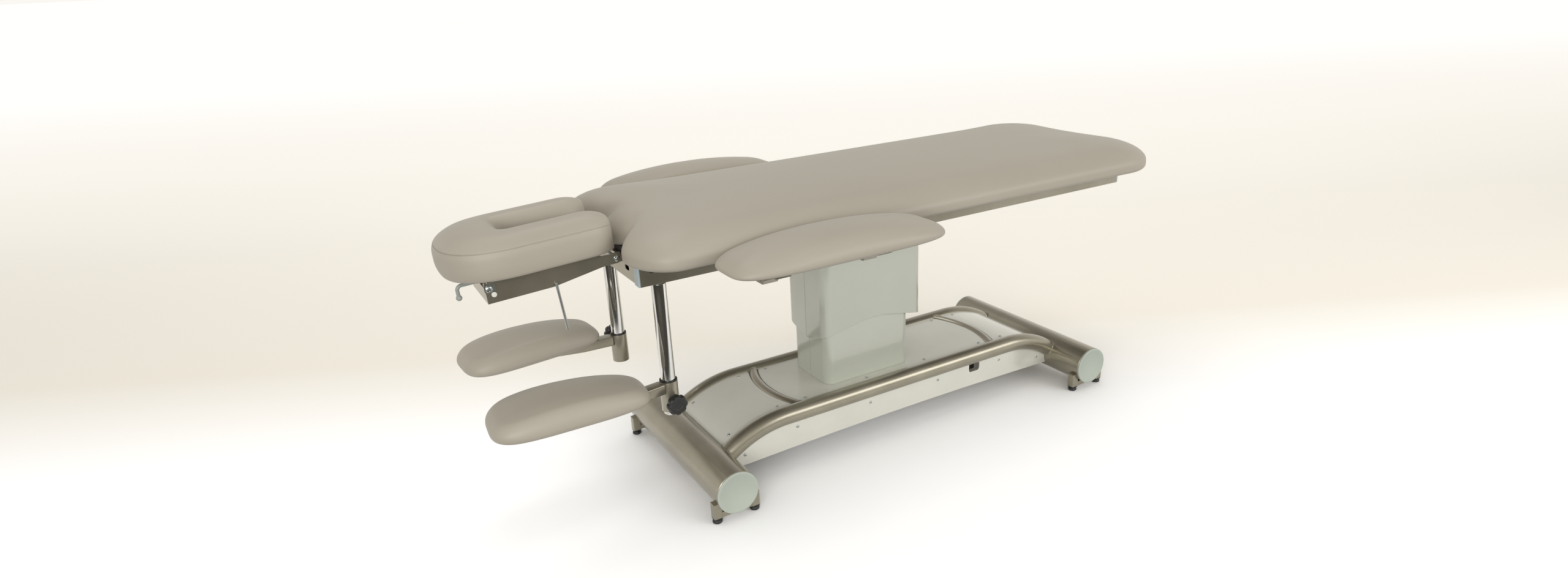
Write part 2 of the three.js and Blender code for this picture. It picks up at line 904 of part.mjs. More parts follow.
function halfShell(length, width, low, high, edgeHeight) {
  const outer = halfPath(length, width, coverCorner);
  const inner = halfPath(length - 2 * coverWall, width - 2 * coverWall, coverCorner - coverWall);
  const shell = raised(outline([...outer, ...inner.reverse()]), low, high);
  const positions = shell.attributes.position;
  for (let i = 0; i < positions.count; i += 1) {
    if (positions.getZ(i) < (low + high) / 2) {
      positions.setZ(i, edgeHeight(positions.getX(i), positions.getY(i)));
    }
  }
  return shell;
}

const lowerCoverLow = sheetTop + clearance;
const upperCoverTop = railLow - clearance;
const waveHeight = (x, y) => {
  const along = (x / upperCoverLength) ** 2;
  const across = (y / upperCoverWidth) ** 2;
  return upperCoverLow - upperCoverWave * (along - across) / (along + across);
};

for (const [side, turn] of sides) {
  const lower = halfShell(
    lowerCoverLength, lowerCoverWidth, lowerCoverLow, lowerCoverTop, () => lowerCoverLow,
  );
  const upper = halfShell(upperCoverLength, upperCoverWidth, upperCoverLow, upperCoverTop, waveHeight);
  if (turn < 0) {
    lower.rotateZ(Math.PI);
    upper.rotateZ(Math.PI);
  }
  add(`lower_cover_${side}`, lower.translate(lowerCoverX, 0, 0), coverFinish);
  add(`upper_cover_${side}`, upper.translate(upperCoverX, 0, 0), coverFinish);
}

// Rails of the top frame, each with two sockets for the bars of a side arm rest
const railTop = railLow + railHeight;
const socketTop = railTop - socketDrop;
const socketHeight = sideBarThickness + 2 * clearance + 2 * socketWall;
const barLow = socketTop - socketHeight + socketWall + clearance;

function boxTube(width, height, wall) {
  const frame = outline([
    [-width / 2, -height / 2],
    [width / 2, -height / 2],
    [width / 2, height / 2],
    [-width / 2, height / 2],
  ]);
  const x = width / 2 - wall;
  const y = height / 2 - wall;
  frame.holes.push(new THREE.Path([[-x, -y], [-x, y], [x, y], [x, -y]].map((p) => new THREE.Vector2(...p))));
  return frame;
}

function rail(turn) {
  const tube = alongX(boxTube(railWidth, railHeight, railWall), railHead, railFoot)
    .translate(0, turn * railPlace, railLow + railHeight / 2);
  const start = railPlace + railWidth / 2 - railWall / 2;
  const sockets = [sideBarHeadX, sideBarFootX].map((x) => {
    const width = sideBarWidth + 2 * clearance + 2 * socketWall;
    const section = boxTube(width, socketHeight, socketWall);
    const span = turn < 0 ? [-start - socketLength, -start] : [start, start + socketLength];
    return alongY(section, ...span).translate(x, 0, socketTop - socketHeight / 2);
  });
  return join(tube, ...sockets);
}

for (const [side, turn] of sides) {
  add(`rail_${side}`, rail(turn), steelFinish);
}

// Cross members between the rails; the head one carries the ears of the headrest hinge
const memberReach = railPlace - railWidth / 2 - clearance;

function member(x) {
  return alongY(boxTube(railWidth, railHeight, railWall), -memberReach, memberReach)
    .translate(x, 0, railLow + railHeight / 2);
}

function headMember() {
  const x = railHead + railWidth / 2;
  const holes = sides.map(([, turn]) => alongX(
    roundedRectangle(memberHoleLength, memberHoleWidth, memberHoleWidth / 2 - clearance),
    railHead - overrun, railHead + railWidth / 2,
  ).translate(0, turn * memberHolePlace, railLow + memberHoleRise));
  const drilled = cut(member(x), ...holes);
  const outer = framePlatePlace - clearance;
  const root = railHead - hingeX + railWall / 2;
  const ears = sides.map(([, turn]) => {
    const shape = new THREE.Shape();
    shape.absarc(0, 0, earRadius, Math.PI / 2, 1.5 * Math.PI);
    shape.lineTo(root, -earRadius);
    shape.lineTo(root, railTop - hingeZ - clearance);
    shape.lineTo(railHead - hingeX - clearance, earRadius);
    const span = turn < 0 ? [-outer, -outer + earThickness] : [outer - earThickness, outer];
    const ear = alongY(shape, ...span, smallArc);
    const bore = alongY(disc(hingeShaftRadius + clearance), span[0] - overrun, span[1] + overrun, smallArc);
    return cut(ear, bore).translate(hingeX, 0, hingeZ);
  });
  return join(drilled, ...ears);
}

add("head_cross_member", headMember(), steelFinish);
add("foot_cross_member", member(railFoot - footMemberInset - railWidth / 2), steelFinish);

// Board that carries the cushion
function board() {
  const y = boardWidth / 2;
  const boardHead = railHead + boardHeadInset;
  const boardFoot = railFoot - boardFootInset;
  const shape = new THREE.Shape();
  shape.absarc(boardFoot - boardCorner, -y + boardCorner, boardCorner, -Math.PI / 2, 0);
  shape.absarc(boardFoot - boardCorner, y - boardCorner, boardCorner, 0, Math.PI / 2);
  shape.lineTo(boardHead, y);
  shape.lineTo(boardHead, -y);
  return raised(shape, railTop + clearance, railTop + clearance + boardThickness);
}

add("table_board", board(), woodFinish);

// Main cushion: straight sides, round foot corners, and a head end with a tongue between scallops
// that run out over the roll
const cushionLow = railTop + 2 * clearance + boardThickness;
const cushionFoot = railFoot + cushionOverhang;

function cushionPlan(scallop) {
  const half = cushionWidth / 2;
  const wave = (share) => (1 - Math.cos(Math.PI * share)) / 2;
  const waveSteps = 7;
  const sideSteps = 6;
  const footSteps = 3;
  const points = [];
  for (let step = 0; step < waveSteps; step += 1) {
    const share = step / waveSteps;
    points.push([tongueTip + (scallop - tongueTip) * wave(share), scallopPlace * share]);
  }
  for (let step = 0; step < waveSteps; step += 1) {
    const share = step / waveSteps;
    const y = scallopPlace + (lobePlace - scallopPlace) * share;
    points.push([scallop + (lobeTip - scallop) * wave(share), y]);
  }
  for (let step = 0; step <= waveSteps; step += 1) {
    const angle = Math.PI / 2 * step / waveSteps;
    points.push([
      shoulderX + (lobeTip - shoulderX) * Math.cos(angle),
      lobePlace + (half - lobePlace) * Math.sin(angle),
    ]);
  }
  const cornerX = cushionFoot - cushionFootCorner;
  for (let step = 1; step < sideSteps; step += 1) {
    const share = step / sideSteps;
    const drawn = cushionDrawIn * (1 - (2 * share - 1) ** 2);
    points.push([shoulderX + (cornerX - shoulderX) * share, half - drawn]);
  }
  for (let step = 0; step <= waveSteps; step += 1) {
    const angle = Math.PI / 2 * (1 - step / waveSteps);
    points.push([
      cornerX + cushionFootCorner * Math.cos(angle),
      half - cushionFootCorner + cushionFootCorner * Math.sin(angle),
    ]);
  }
  for (let step = 1; step <= footSteps; step += 1) {
    points.push([cushionFoot, (half - cushionFootCorner) * (1 - step / footSteps)]);
  }
  const mirrored = points.slice(1, -1).reverse().map(([x, y]) => [x, -y]);
  return [...points, ...mirrored].map(([x, y]) => new THREE.Vector2(x, y));
}

const cushionCore = (point) => new THREE.Vector2(
  THREE.MathUtils.clamp(point.x, shoulderX + cushionCoreInset, cushionFoot - cushionWidth / 2), 0,
);
add("main_cushion", cushion(cushionPlan(scallopX), cushionCore, cushionLow, {
  lowerRadius: cushionLowerRadius,
  wall: cushionWall,
  rollReach: cushionRollReach,
  rollRise: cushionRollRise,
  crown: cushionCrown,
  fallShare: 0,
}, cushionPlan(scallopTopX)), upholsteryFinish);

// Chromed posts with a closed round end
for (const [side, turn] of sides) {
  const top = railLow - clearance;
  const bore = postRadius - postWall;
  const low = turn < 0 ? postLow : postLow + farPostRaise;
  add(`post_${side}`, turned([
    [0, low],
    [postRadius - postPlugEdge, low],
    [postRadius, low + postPlugEdge],
    [postRadius, top],
    [bore, top],
    [bore, low + 2 * postPlugEdge],
    [0, low + 2 * postPlugEdge],
  ], 2 * tubeArc).translate(postX, turn * postPlace, 0), chromeFinish);
}

// Plastic bushes between the posts and the sleeves of the front arm rests
const sleeveBore = sleeveRadius - sleeveWall;
const sleeveTop = sleeveLow + sleeveHeight;
for (const [side, turn] of sides) {
  add(`arm_bush_${side}`, turned([
    [postRadius + bushGap, sleeveLow],
    [sleeveBore - bushGap, sleeveLow],
    [sleeveBore - bushGap, sleeveTop + clearance],
    [sleeveRadius, sleeveTop + clearance],
    [sleeveRadius, sleeveTop + clearance + bushFlange],
    [postRadius + bushGap, sleeveTop + clearance + bushFlange],
    [postRadius + bushGap, sleeveLow],
  ], 2 * tubeArc).translate(postX, turn * postPlace, turn < 0 ? 0 : farArmRaise), blackFinish);
}

// Front arm: sleeve, box bar swung a little outwards, and the plate let into it under the pad
const frontPadLow = armBarTop + armPlateProud + clearance;
const armSwing = (turn) => (turn < 0 ? nearArmSwing : -farArmSwing) * degree;
const padDistance = (turn) => (turn < 0 ? nearPadDistance : farPadDistance);

function frontArm(turn, drop) {
  const sleeve = raised(ring(sleeveRadius, sleeveBore), sleeveLow, sleeveTop, tubeArc);
  const bar = alongX(boxTube(armBarWidth, armBarHeight, armBarWall), -armBarReach, 0)
    .translate(0, 0, armBarTop - armBarHeight / 2);
  const room = raised(disc(sleeveRadius - sleeveWall / 2), sleeveLow - overrun, sleeveTop + overrun, tubeArc);
  const barLow = armBarTop - armBarHeight;
  const underside = alongY(outline([
    [armBarTaperRun - armBarReach, barLow],
    [-armBarReach, barLow + armBarTaper],
    [-armBarReach - overrun, barLow + armBarTaper],
    [-armBarReach - overrun, barLow - overrun],
    [armBarTaperRun - armBarReach, barLow - overrun],
  ]), -armBarWidth, armBarWidth);
  const plateTop = armBarTop + armPlateProud;
  const plateX = -padDistance(turn);
  const plate = block(
    [plateX - armPlateLength / 2, plateX + armPlateLength / 2],
    [-armPlateWidth / 2, armPlateWidth / 2],
    [plateTop - armPlateThickness, plateTop],
  );
  const beam = join(cut(bar, room, underside), plate).rotateZ(armSwing(turn));
  const stemHole = alongY(disc(knobStemRadius + knobStemGap), 0, sleeveRadius + overrun, smallArc)
    .translate(0, turn < 0 ? -sleeveRadius - overrun : 0, sleeveTop - drop);
  return cut(join(sleeve, beam), stemHole);
}

function knob(turn, drop) {
  const count = 4 * knobLobes;
  const points = [];
  for (let i = 0; i < count; i += 1) {
    const angle = 2 * Math.PI * i / count;
    const radius = knobRadius - knobLobeDepth * (1 - Math.cos(knobLobes * angle)) / 2;
    points.push(new THREE.Vector2(radius * Math.cos(angle), radius * Math.sin(angle)));
  }
  const shape = new THREE.Shape(points);
  const bossStart = sleeveRadius + clearance;
  const bodyStart = bossStart + knobBossLength;
  const stemStart = sleeveBore + clearance;
  const parts = [
    alongY(shape, bodyStart, bodyStart + knobThickness),
    alongY(disc(knobBossRadius), bossStart, bodyStart + knobBossLength, smallArc),
    alongY(disc(knobStemRadius), stemStart, bodyStart + knobBossLength, smallArc),
  ];
  const whole = join(...parts);
  if (turn < 0) {
    whole.rotateZ(Math.PI);
  }
  return whole.translate(0, 0, sleeveTop - drop);
}

const frontPad = () => cushion(
  ovalPlan(frontPadLength, frontPadWidth, frontPadPower, frontPadTaperShare, padSides),
  padCore(frontPadLength, frontPadWidth),
  frontPadLow,
  {
    lowerRadius: frontPadLowerRadius,
    wall: frontPadWall,
    rollReach: frontPadRollReach,
    rollRise: frontPadRollRise,
    crown: frontPadCrown,
    fallShare: frontPadFallShare,
  },
);

for (const [side, turn] of sides) {
  const drop = turn < 0 ? knobDrop : farKnobDrop;
  const arm = new THREE.Group();
  arm.position.set(postX, turn * postPlace, turn < 0 ? 0 : farArmRaise);
  model.add(arm);
  add(`front_arm_${side}`, frontArm(turn, drop), steelFinish, arm);
  add(`arm_knob_${side}`, knob(turn, drop), blackFinish, arm);
  const pad = add(`front_arm_pad_${side}`, frontPad(), upholsteryFinish, arm);
  const swing = armSwing(turn);
  const distance = padDistance(turn);
  pad.position.set(-distance * Math.cos(swing), -distance * Math.sin(swing), 0);
  pad.rotation.z = turn * frontPadTurn * degree;
}

// Side arm rests: two cranked bars under a plate, and the pad on it
const sidePadLow = railLow + sidePadRise;
const sidePlateTop = sidePadLow - clearance;
const sidePlateLow = sidePlateTop - sidePlateThickness;

function sideBracket(turn) {
  const barHigh = sidePlateLow - sideBarThickness;
  const slant = sideBarThickness * (barHigh - barLow) / (sideBarBendRun + sideBarThickness);
  const points = [
    [sideBarInner, barLow],
    [sideBarBend, barLow],
    [sideBarBend + sideBarBendRun, barHigh],
    [sideBarOuter, barHigh],
    [sideBarOuter, sidePlateLow + sidePlateThickness / 2],
    [sideBarBend + sideBarBendRun - slant, sidePlateLow + sidePlateThickness / 2],
    [sideBarBend - slant, barLow + sideBarThickness],
    [sideBarInner, barLow + sideBarThickness],
  ].map(([y, z]) => [turn * y, z]);
  const bars = [sideBarHeadX, sideBarFootX].map((x) => alongX(
    outline(points), x - sideBarWidth / 2, x + sideBarWidth / 2,
  ));
  const span = turn < 0 ? [-sidePlateOuter, -sidePlateInner] : [sidePlateInner, sidePlateOuter];
  const plate = block([sidePlateHead, sidePlateFoot], span, [sidePlateLow, sidePlateTop]);
  return join(plate, ...bars);
}

for (const [side, turn] of sides) {
  add(`side_arm_bracket_${side}`, sideBracket(turn), steelFinish);
  const pad = cushion(
    ovalPlan(sidePadLength, sidePadWidth, sidePadPower, sidePadTaperShare, padSides),
    padCore(sidePadLength, sidePadWidth),
    sidePadLow,
    {
      lowerRadius: sidePadLowerRadius,
      wall: sidePadWall,
      rollReach: sidePadRollReach,
      rollRise: sidePadRollRise,
      crown: sidePadCrown,
      fallShare: sidePadFallShare,
    },
  ).translate(turn < 0 ? sidePadX : sidePadX + farSidePadShift, turn * sidePadPlace, 0);
  add(`side_arm_pad_${side}`, pad, upholsteryFinish);
}

// Headrest frame: two upright plates with flanges, tied at the outer end
const plateOuter = framePlatePlace + framePlateThickness;

function framePlate(turn) {
  const shape = new THREE.Shape();
  const top = flangeTopZ - flangeThickness / 2;
  shape.moveTo(frameOuterX, frameLowZ);
  shape.lineTo(frameKneeX, frameLowZ);
  shape.lineTo(frameNeckX, frameNeckLowZ);
  shape.absarc(0, 0, earRadius, -Math.PI / 2, Math.PI / 2);
  shape.lineTo(frameNeckX, frameNeckHighZ);
  shape.lineTo(frameRiseX, top);
  shape.lineTo(frameOuterX, top);
  const span = turn < 0 ? [-plateOuter, -framePlatePlace] : [framePlatePlace, plateOuter];
  return alongY(shape, ...span, smallArc);
}

function headrestFrame() {
  const parts = [framePlate(1)];
  const flangeLow = flangeTopZ - flangeThickness;
  for (const span of [[-flangeReach, -framePlatePlace], [framePlatePlace, flangeReach]]) {
    parts.push(block([frameOuterX, flangeInnerX], span, [flangeLow, flangeTopZ]));
  }
  const cross = [frameOuterX, frameOuterX + crossPlateLength];
  parts.push(block(cross, [-flangeReach, flangeReach], [flangeLow, flangeTopZ]));
  const endPlate = [frameOuterX, frameOuterX + framePlateThickness / 2];
  parts.push(block(endPlate, [-plateOuter, plateOuter], [frameLowZ, endPlateTopZ]));
  const lugX = [leverPivotX - earRadius, leverPivotX + earRadius];
  const lugY = [-leverLugPlace - leverLugThickness, -leverLugPlace];
  parts.push(block(lugX, lugY, [leverPivotZ - earRadius, flangeTopZ - flangeThickness / 2]));
  const bore = (x, z, radius) => alongY(
    disc(radius, x, z), -plateOuter - overrun, plateOuter + overrun, smallArc,
  );
  const leverBore = alongY(
    disc(leverRadius + hingeHoleGap, leverPivotX, leverPivotZ),
    -plateOuter - overrun, 0, smallArc,
  );
  const rodBore = alongY(
    disc(rodRadius + hingeHoleGap, rodPivotX, rodPivotZ),
    -plateOuter - overrun, 0, smallArc,
  );
  return cut(
    join(framePlate(-1), ...parts),
    bore(0, 0, hingeShaftRadius + hingeHoleGap),
    bore(pinX, pinZ, pinRadius + clearance),
    leverBore,
    rodBore,
  );
}

add("headrest_frame", headrestFrame(), steelFinish, headrest);

// Pins through both plates: the hinge shaft stays with the table, the white pin with the headrest
function headedPin(radius, headRadius, headLength) {
  const reach = plateOuter + clearance;
  return new THREE.LatheGeometry([
    [0, -reach - headLength],
    [headRadius, -reach - headLength],
    [headRadius, -reach],
    [radius, -reach],
    [radius, reach],
    [headRadius, reach],
    [headRadius, reach + headLength],
    [0, reach + headLength],
  ].map(([r, y]) => new THREE.Vector2(r, y)), 2 * smallArc);
}

const hingeShaft = headedPin(hingeShaftRadius, hingeHeadRadius, hingeHeadLength);
add("headrest_hinge_shaft", hingeShaft.translate(hingeX, 0, hingeZ), chromeFinish);
const spacerPin = headedPin(pinRadius, pinHeadRadius, pinHeadLength);
add("headrest_spacer_pin", spacerPin.translate(pinX, 0, pinZ), whiteFinish, headrest);

// Headrest cushion: a horseshoe round the face hole, open towards the table
function headrestCushion() {
  const acrossShares = [0.05, 0, 0, 0.03, 0.12, 0.33, 0.6, 0.83, 0.95, 0.995, 1, 0.92];
  const heightShares = [0, 0.14, 0.5, 0.72, 0.89, 1, 0.98, 0.87, 0.7, 0.5, 0.2, 0];
  const endShares = [0.95, 0.8, 0.55, 0.25];
  const wallShare = 0.4;
  const turnSteps = 6;
  const armSteps = 4;
  const half = headWidth / 2;
  const noseX = headOuterX + headNoseLength;
  const armX = headInnerX - headArmEnd;
  const pairs = [];
  for (const share of endShares) {
    const narrow = Math.sqrt(1 - share ** 2);
    const middle = (half + holeHalfWidth) / 2;
    const spread = (half - holeHalfWidth) / 2 * narrow;
    const x = armX + headArmEnd * share;
    const kept = wallShare + (1 - wallShare) * narrow;
    pairs.push({ inner: [x, middle - spread], outer: [x, middle + spread], kept });
  }
  for (let step = 0; step < armSteps; step += 1) {
    const share = step / armSteps;
    const inner = [armX + (holeEndX + holeCorner - armX) * share, holeHalfWidth];
    pairs.push({ inner, outer: [armX + (noseX - armX) * share, half], kept: 1 });
  }
  for (let step = 0; step <= turnSteps; step += 1) {
    const angle = Math.PI / 2 * (1 + step / turnSteps);
    const full = (value, power) => Math.sign(value) * Math.abs(value) ** (2 / power);
    const inner = [
      holeEndX + holeCorner + holeCorner * full(Math.cos(angle), holePower),
      holeHalfWidth * full(Math.sin(angle), holePower),
    ];
    const outer = [
      noseX + headNoseLength * full(Math.cos(angle), nosePower),
      half * full(Math.sin(angle), nosePower),
    ];
    pairs.push({ inner, outer, kept: 1 + noseRiseShare * Math.cos(angle) ** 2 });
  }
  const mirrored = pairs.slice(0, -1).reverse().map(({ inner, outer, kept }) => ({
    inner: [inner[0], -inner[1]],
    outer: [outer[0], -outer[1]],
    kept,
  }));
  const rows = [...pairs, ...mirrored].map(({ inner, outer, kept }) => acrossShares.map((share, i) => {
    const height = heightShares[i] < wallShare
      ? heightShares[i]
      : wallShare + (heightShares[i] - wallShare) * kept;
    return new THREE.Vector3(
      inner[0] + (outer[0] - inner[0]) * share,
      inner[1] + (outer[1] - inner[1]) * share,
      headLowZ + headHeight * height,
    );
  }));
  return loft(rows, (point) => new THREE.Vector2(point.y, point.z));
}

add("headrest_cushion", headrestCushion(), upholsteryFinish, headrest);

// Release lever: a cross pin held by the frame, an arm out under the cushion, a ball at its end
function lever() {
  const bendSteps = 3;
  const endX = leverPivotX - leverReach;
  const points = [new THREE.Vector3(leverPivotX, 0, leverPivotZ)];
  const tangents = [new THREE.Vector3(-1, 0, 0)];
  for (let step = 0; step <= bendSteps; step += 1) {
    const angle = Math.PI / 2 * step / bendSteps;
    points.push(new THREE.Vector3(
      endX + leverBendRadius - leverBendRadius * Math.sin(angle),
      0,
      leverPivotZ - leverBendRadius + leverBendRadius * Math.cos(angle),
    ));
    tangents.push(new THREE.Vector3(-Math.cos(angle), 0, -Math.sin(angle)));
  }
  points.push(new THREE.Vector3(endX, 0, leverPivotZ - leverDrop));
  tangents.push(new THREE.Vector3(0, 0, -1));
  const arm = swept(disc(leverRadius), new StationPath(points, tangents), smallArc)
    .translate(0, -leverPlace, 0);
  const pin = alongY(disc(leverRadius), -plateOuter + clearance, -leverLugPlace, smallArc)
    .translate(leverPivotX, 0, leverPivotZ);
  const ball = new THREE.SphereGeometry(leverBallRadius, 2 * smallArc, smallArc)
    .translate(endX, -leverPlace, leverPivotZ - leverDrop);
  return join(arm, pin, ball);
}

add("headrest_lever", lever(), capFinish, headrest);

// Thin rod that hangs from the near plate at its knee
function hangingRod() {
  const pin = alongY(disc(rodRadius), -rodPlace, -framePlatePlace, smallArc);
  const rod = raised(disc(rodRadius), -rodLength, rodRadius, smallArc).translate(0, -rodPlace, 0);
  return join(pin, rod);
}

const rodMesh = add("headrest_rod", hangingRod(), chromeFinish, headrest);
rodMesh.position.set(rodPivotX, 0, rodPivotZ);
rodMesh.rotation.y = -rodLean * degree;

// The origin lies on the floor under the middle of the whole table
model.updateMatrixWorld(true);
const extent = new THREE.Box3().setFromObject(model, true);
model.position.x = -(extent.min.x + extent.max.x) / 2;

export default model;
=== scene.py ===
import math

import bmesh
import bpy
import numpy as np
from mathutils import Matrix, Vector


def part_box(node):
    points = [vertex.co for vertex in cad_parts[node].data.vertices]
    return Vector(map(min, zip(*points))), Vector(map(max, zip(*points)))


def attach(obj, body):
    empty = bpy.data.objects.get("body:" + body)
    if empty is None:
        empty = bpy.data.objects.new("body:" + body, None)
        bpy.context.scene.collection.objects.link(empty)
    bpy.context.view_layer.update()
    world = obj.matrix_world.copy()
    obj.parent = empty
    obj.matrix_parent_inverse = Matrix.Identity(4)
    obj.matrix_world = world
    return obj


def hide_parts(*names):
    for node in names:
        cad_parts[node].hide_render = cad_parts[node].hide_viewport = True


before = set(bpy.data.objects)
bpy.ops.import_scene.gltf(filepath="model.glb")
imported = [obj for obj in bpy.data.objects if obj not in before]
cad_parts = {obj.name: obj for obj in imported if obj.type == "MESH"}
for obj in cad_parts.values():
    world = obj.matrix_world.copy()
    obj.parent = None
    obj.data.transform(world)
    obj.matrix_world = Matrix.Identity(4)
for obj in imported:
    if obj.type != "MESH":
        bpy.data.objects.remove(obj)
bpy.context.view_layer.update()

# Camera: the photograph was taken from beside the head end, a little above the table, with a
# wide lens and a slight tilt to the left.
photo_width = 2560
photo_height = 944
sensor_width = 36.0
focal_pixels = 1432.26
principal_point = (1310.68, 491.84)
camera_place = Vector((-1.20975, -1.92218, 1.24174))
camera_yaw = 0.53196
camera_pitch = 0.36392
camera_roll = -0.04209
camera_sight = 1000

forward = Vector((
    math.sin(camera_yaw) * math.cos(camera_pitch),
    math.cos(camera_yaw) * math.cos(camera_pitch),
    -math.sin(camera_pitch),
))
level = Vector((math.cos(camera_yaw), -math.sin(camera_yaw), 0))
upward = level.cross(forward)
camera_right = math.cos(camera_roll) * level + math.sin(camera_roll) * upward
camera_up = math.cos(camera_roll) * upward - math.sin(camera_roll) * level
camera_data = bpy.data.cameras.new("camera")
camera_data.sensor_width = sensor_width
camera_data.lens = focal_pixels / photo_width * sensor_width
camera_data.shift_x = 0.5 - principal_point[0] / photo_width
camera_data.shift_y = (principal_point[1] - photo_height / 2) / photo_width
camera_data.clip_end = camera_sight
camera = bpy.data.objects.new("camera", camera_data)
camera.matrix_world = Matrix.Translation(camera_place) @ Matrix(
    (camera_right, camera_up, -forward)
).transposed().to_4x4()
bpy.context.scene.collection.objects.link(camera)
bpy.context.scene.camera = camera
bpy.context.scene.view_settings.view_transform = "Standard"


# Cross tubes: two thick round steel tubes across the floor, coated in a champagne metallic
# paint, with two square legs welded under each end and a short bar between the legs.
leg_size = 0.022
leg_corner = 0.0025
leg_height = 0.040
leg_spread = 0.1014
leg_bar_width = 0.018
leg_bar_height = 0.0137
tube_wall = 0.003
cap_thickness = 0.005
edge_round = 0.0012
fit_gap = 0.0003
sides = {"near": -1, "far": 1}
ends = {"head": -1, "foot": 1}


def linear(code):
    """Linear colour of an sRGB hex code: a channel under 0.04045 is divided by 12.92, and any
    other has 0.055 added, is divided by 1.055 and raised to the power 2.4."""
    channel = np.array([int(code[place:place + 2], 16) for place in (0, 2, 4)]) / 255
    bright = ((channel + 0.055) / 1.055) ** 2.4
    return (*np.where(channel <= 0.04045, channel / 12.92, bright).tolist(), 1.0)


def add_node(tree, kind, settings=None, links=None):
    """Adds a shader node, sets its properties and sockets, and links its inputs, each to an
    output or to the first output of a node."""
    node = tree.nodes.new("ShaderNode" + kind)
    for key, value in (settings or {}).items():
        if isinstance(key, str) and key not in node.inputs:
            setattr(node, key, value)
    for key, value in (settings or {}).items():
        if not isinstance(key, str) or key in node.inputs:
            node.inputs[key].default_value = value
    for key, source in (links or {}).items():
        output = source if isinstance(source, bpy.types.NodeSocket) else source.outputs[0]
        tree.links.new(output, node.inputs[key])
    return node


def new_material(name):
    """A material with an empty tree, its output node and the object's own coordinates."""
    material = bpy.data.materials.new(name)
    material.use_nodes = True
    tree = material.node_tree
    tree.nodes.clear()
    place = add_node(tree, "TexCoord").outputs["Object"]
    return material, tree, place


def finish_material(tree, settings, colour, rough=None, relief=None, links=None):
    """The surface shader, joined to the output. Rough is a pattern and the two roughnesses that
    it runs between. Relief is a height pattern, the share of it that counts and its depth."""
    links = {"Base Color": colour, **(links or {})}
    if rough:
        pattern, low, high = rough
        links["Roughness"] = add_node(tree, "MapRange", {"To Min": low, "To Max": high}, {"Value": pattern})
    if relief:
        pattern, strength, depth = relief
        height = {"Strength": strength, "Distance": depth}
        links["Normal"] = add_node(tree, "Bump", height, {"Height": pattern})
    shader = add_node(tree, "BsdfPrincipled", settings, links)
    add_node(tree, "OutputMaterial", links={"Surface": shader})


def blended(tree, low, high, share):
    """Colour between two hex codes, by a share that comes from a pattern."""
    mix = add_node(tree, "Mix", {"data_type": "RGBA", 6: linear(low), 7: linear(high)}, {0: share})
    return mix.outputs[2]


def metallic_paint():
    # Metallic lacquer sprayed on steel: aluminium flake under a clear coat gives soft, wide
    # lights. The flakes, 0.03 mm in life, are drawn 0.8 mm wide so that they show at all.
    material, tree, place = new_material("champagne_metallic_lacquer")
    flake = add_node(tree, "TexVoronoi", {"Scale": 1250.0}, {"Vector": place})
    cloud = add_node(tree, "TexNoise", {"Scale": 9.0, "Detail": 3.0}, {"Vector": place})
    share = add_node(tree, "Math", {"operation": "MULTIPLY_ADD", 1: 0.35}, {
        0: flake.outputs["Color"], 2: cloud,
    })
    colour = blended(tree, "7C7665", "A09A89", share)
    peel = add_node(tree, "TexNoise", {"Scale": 260.0, "Detail": 2.0}, {"Vector": place})
    settings = {"Metallic": 0.7, "Coat Weight": 0.4, "Coat Roughness": 0.1}
    finish_material(tree, settings, colour, (cloud, 0.26, 0.36), (peel, 0.12, 0.0003))
    return material


tube_paint = metallic_paint()


def middle(node):
    """Half way between the two corners of a node's box."""
    low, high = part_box(node)
    return (low + high) / 2


def skin(rings, loop=False, filled=True):
    """Vertices and faces over a stack of rings, given as an array of ring by point by axis: each
    point is joined to the next in its ring and to its neighbours in the next ring. The first
    and last rings are filled, unless the stack closes on itself or its ends meet in a line."""
    count, around = rings.shape[:2]
    step = np.arange(count if loop else count - 1)[:, None]
    turn = np.arange(around)[None, :]
    onward = (turn + 1) % around
    above = (step + 1) % count
    corners = [step * around + turn, step * around + onward, above * around + onward, above * around + turn]
    faces = np.stack(np.broadcast_arrays(*corners), -1).reshape(-1, 4).tolist()
    if filled and not loop:
        faces += [list(range(around)), list(range((count - 1) * around, count * around))]
    return rings.reshape(-1, 3), faces


def together(*skins):
    """Several skins as one, with the face numbers of each moved past the vertices before it."""
    points = np.concatenate([part[0] for part in skins])
    starts = np.cumsum([0] + [len(part[0]) for part in skins[:-1]])
    faces = [[index + int(start) for index in face] for part, start in zip(skins, starts) for face in part[1]]
    return points, faces


def make_piece(name, shape, material, body, covers=(), crease=38):
    """A mesh object from a skin: doubles merged, faces turned outwards, smooth up to the crease
    angle in degrees. It rides on a body and stands for the nodes that it covers."""
    mesh = bpy.data.meshes.new(name)
    mesh.from_pydata(shape[0].tolist(), [], shape[1])
    work = bmesh.new()
    work.from_mesh(mesh)
    bmesh.ops.remove_doubles(work, verts=work.verts, dist=1e-6)
    bmesh.ops.dissolve_degenerate(work, edges=work.edges, dist=1e-7)
    bmesh.ops.recalc_face_normals(work, faces=work.faces)
    work.to_mesh(mesh)
    work.free()
    mesh.shade_smooth()
    mesh.set_sharp_from_angle(angle=math.radians(crease))
    mesh.materials.append(material)
    piece = bpy.data.objects.new(name, mesh)
    bpy.context.scene.collection.objects.link(piece)
    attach(piece, body)
    if covers:
        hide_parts(*covers)
    return piece


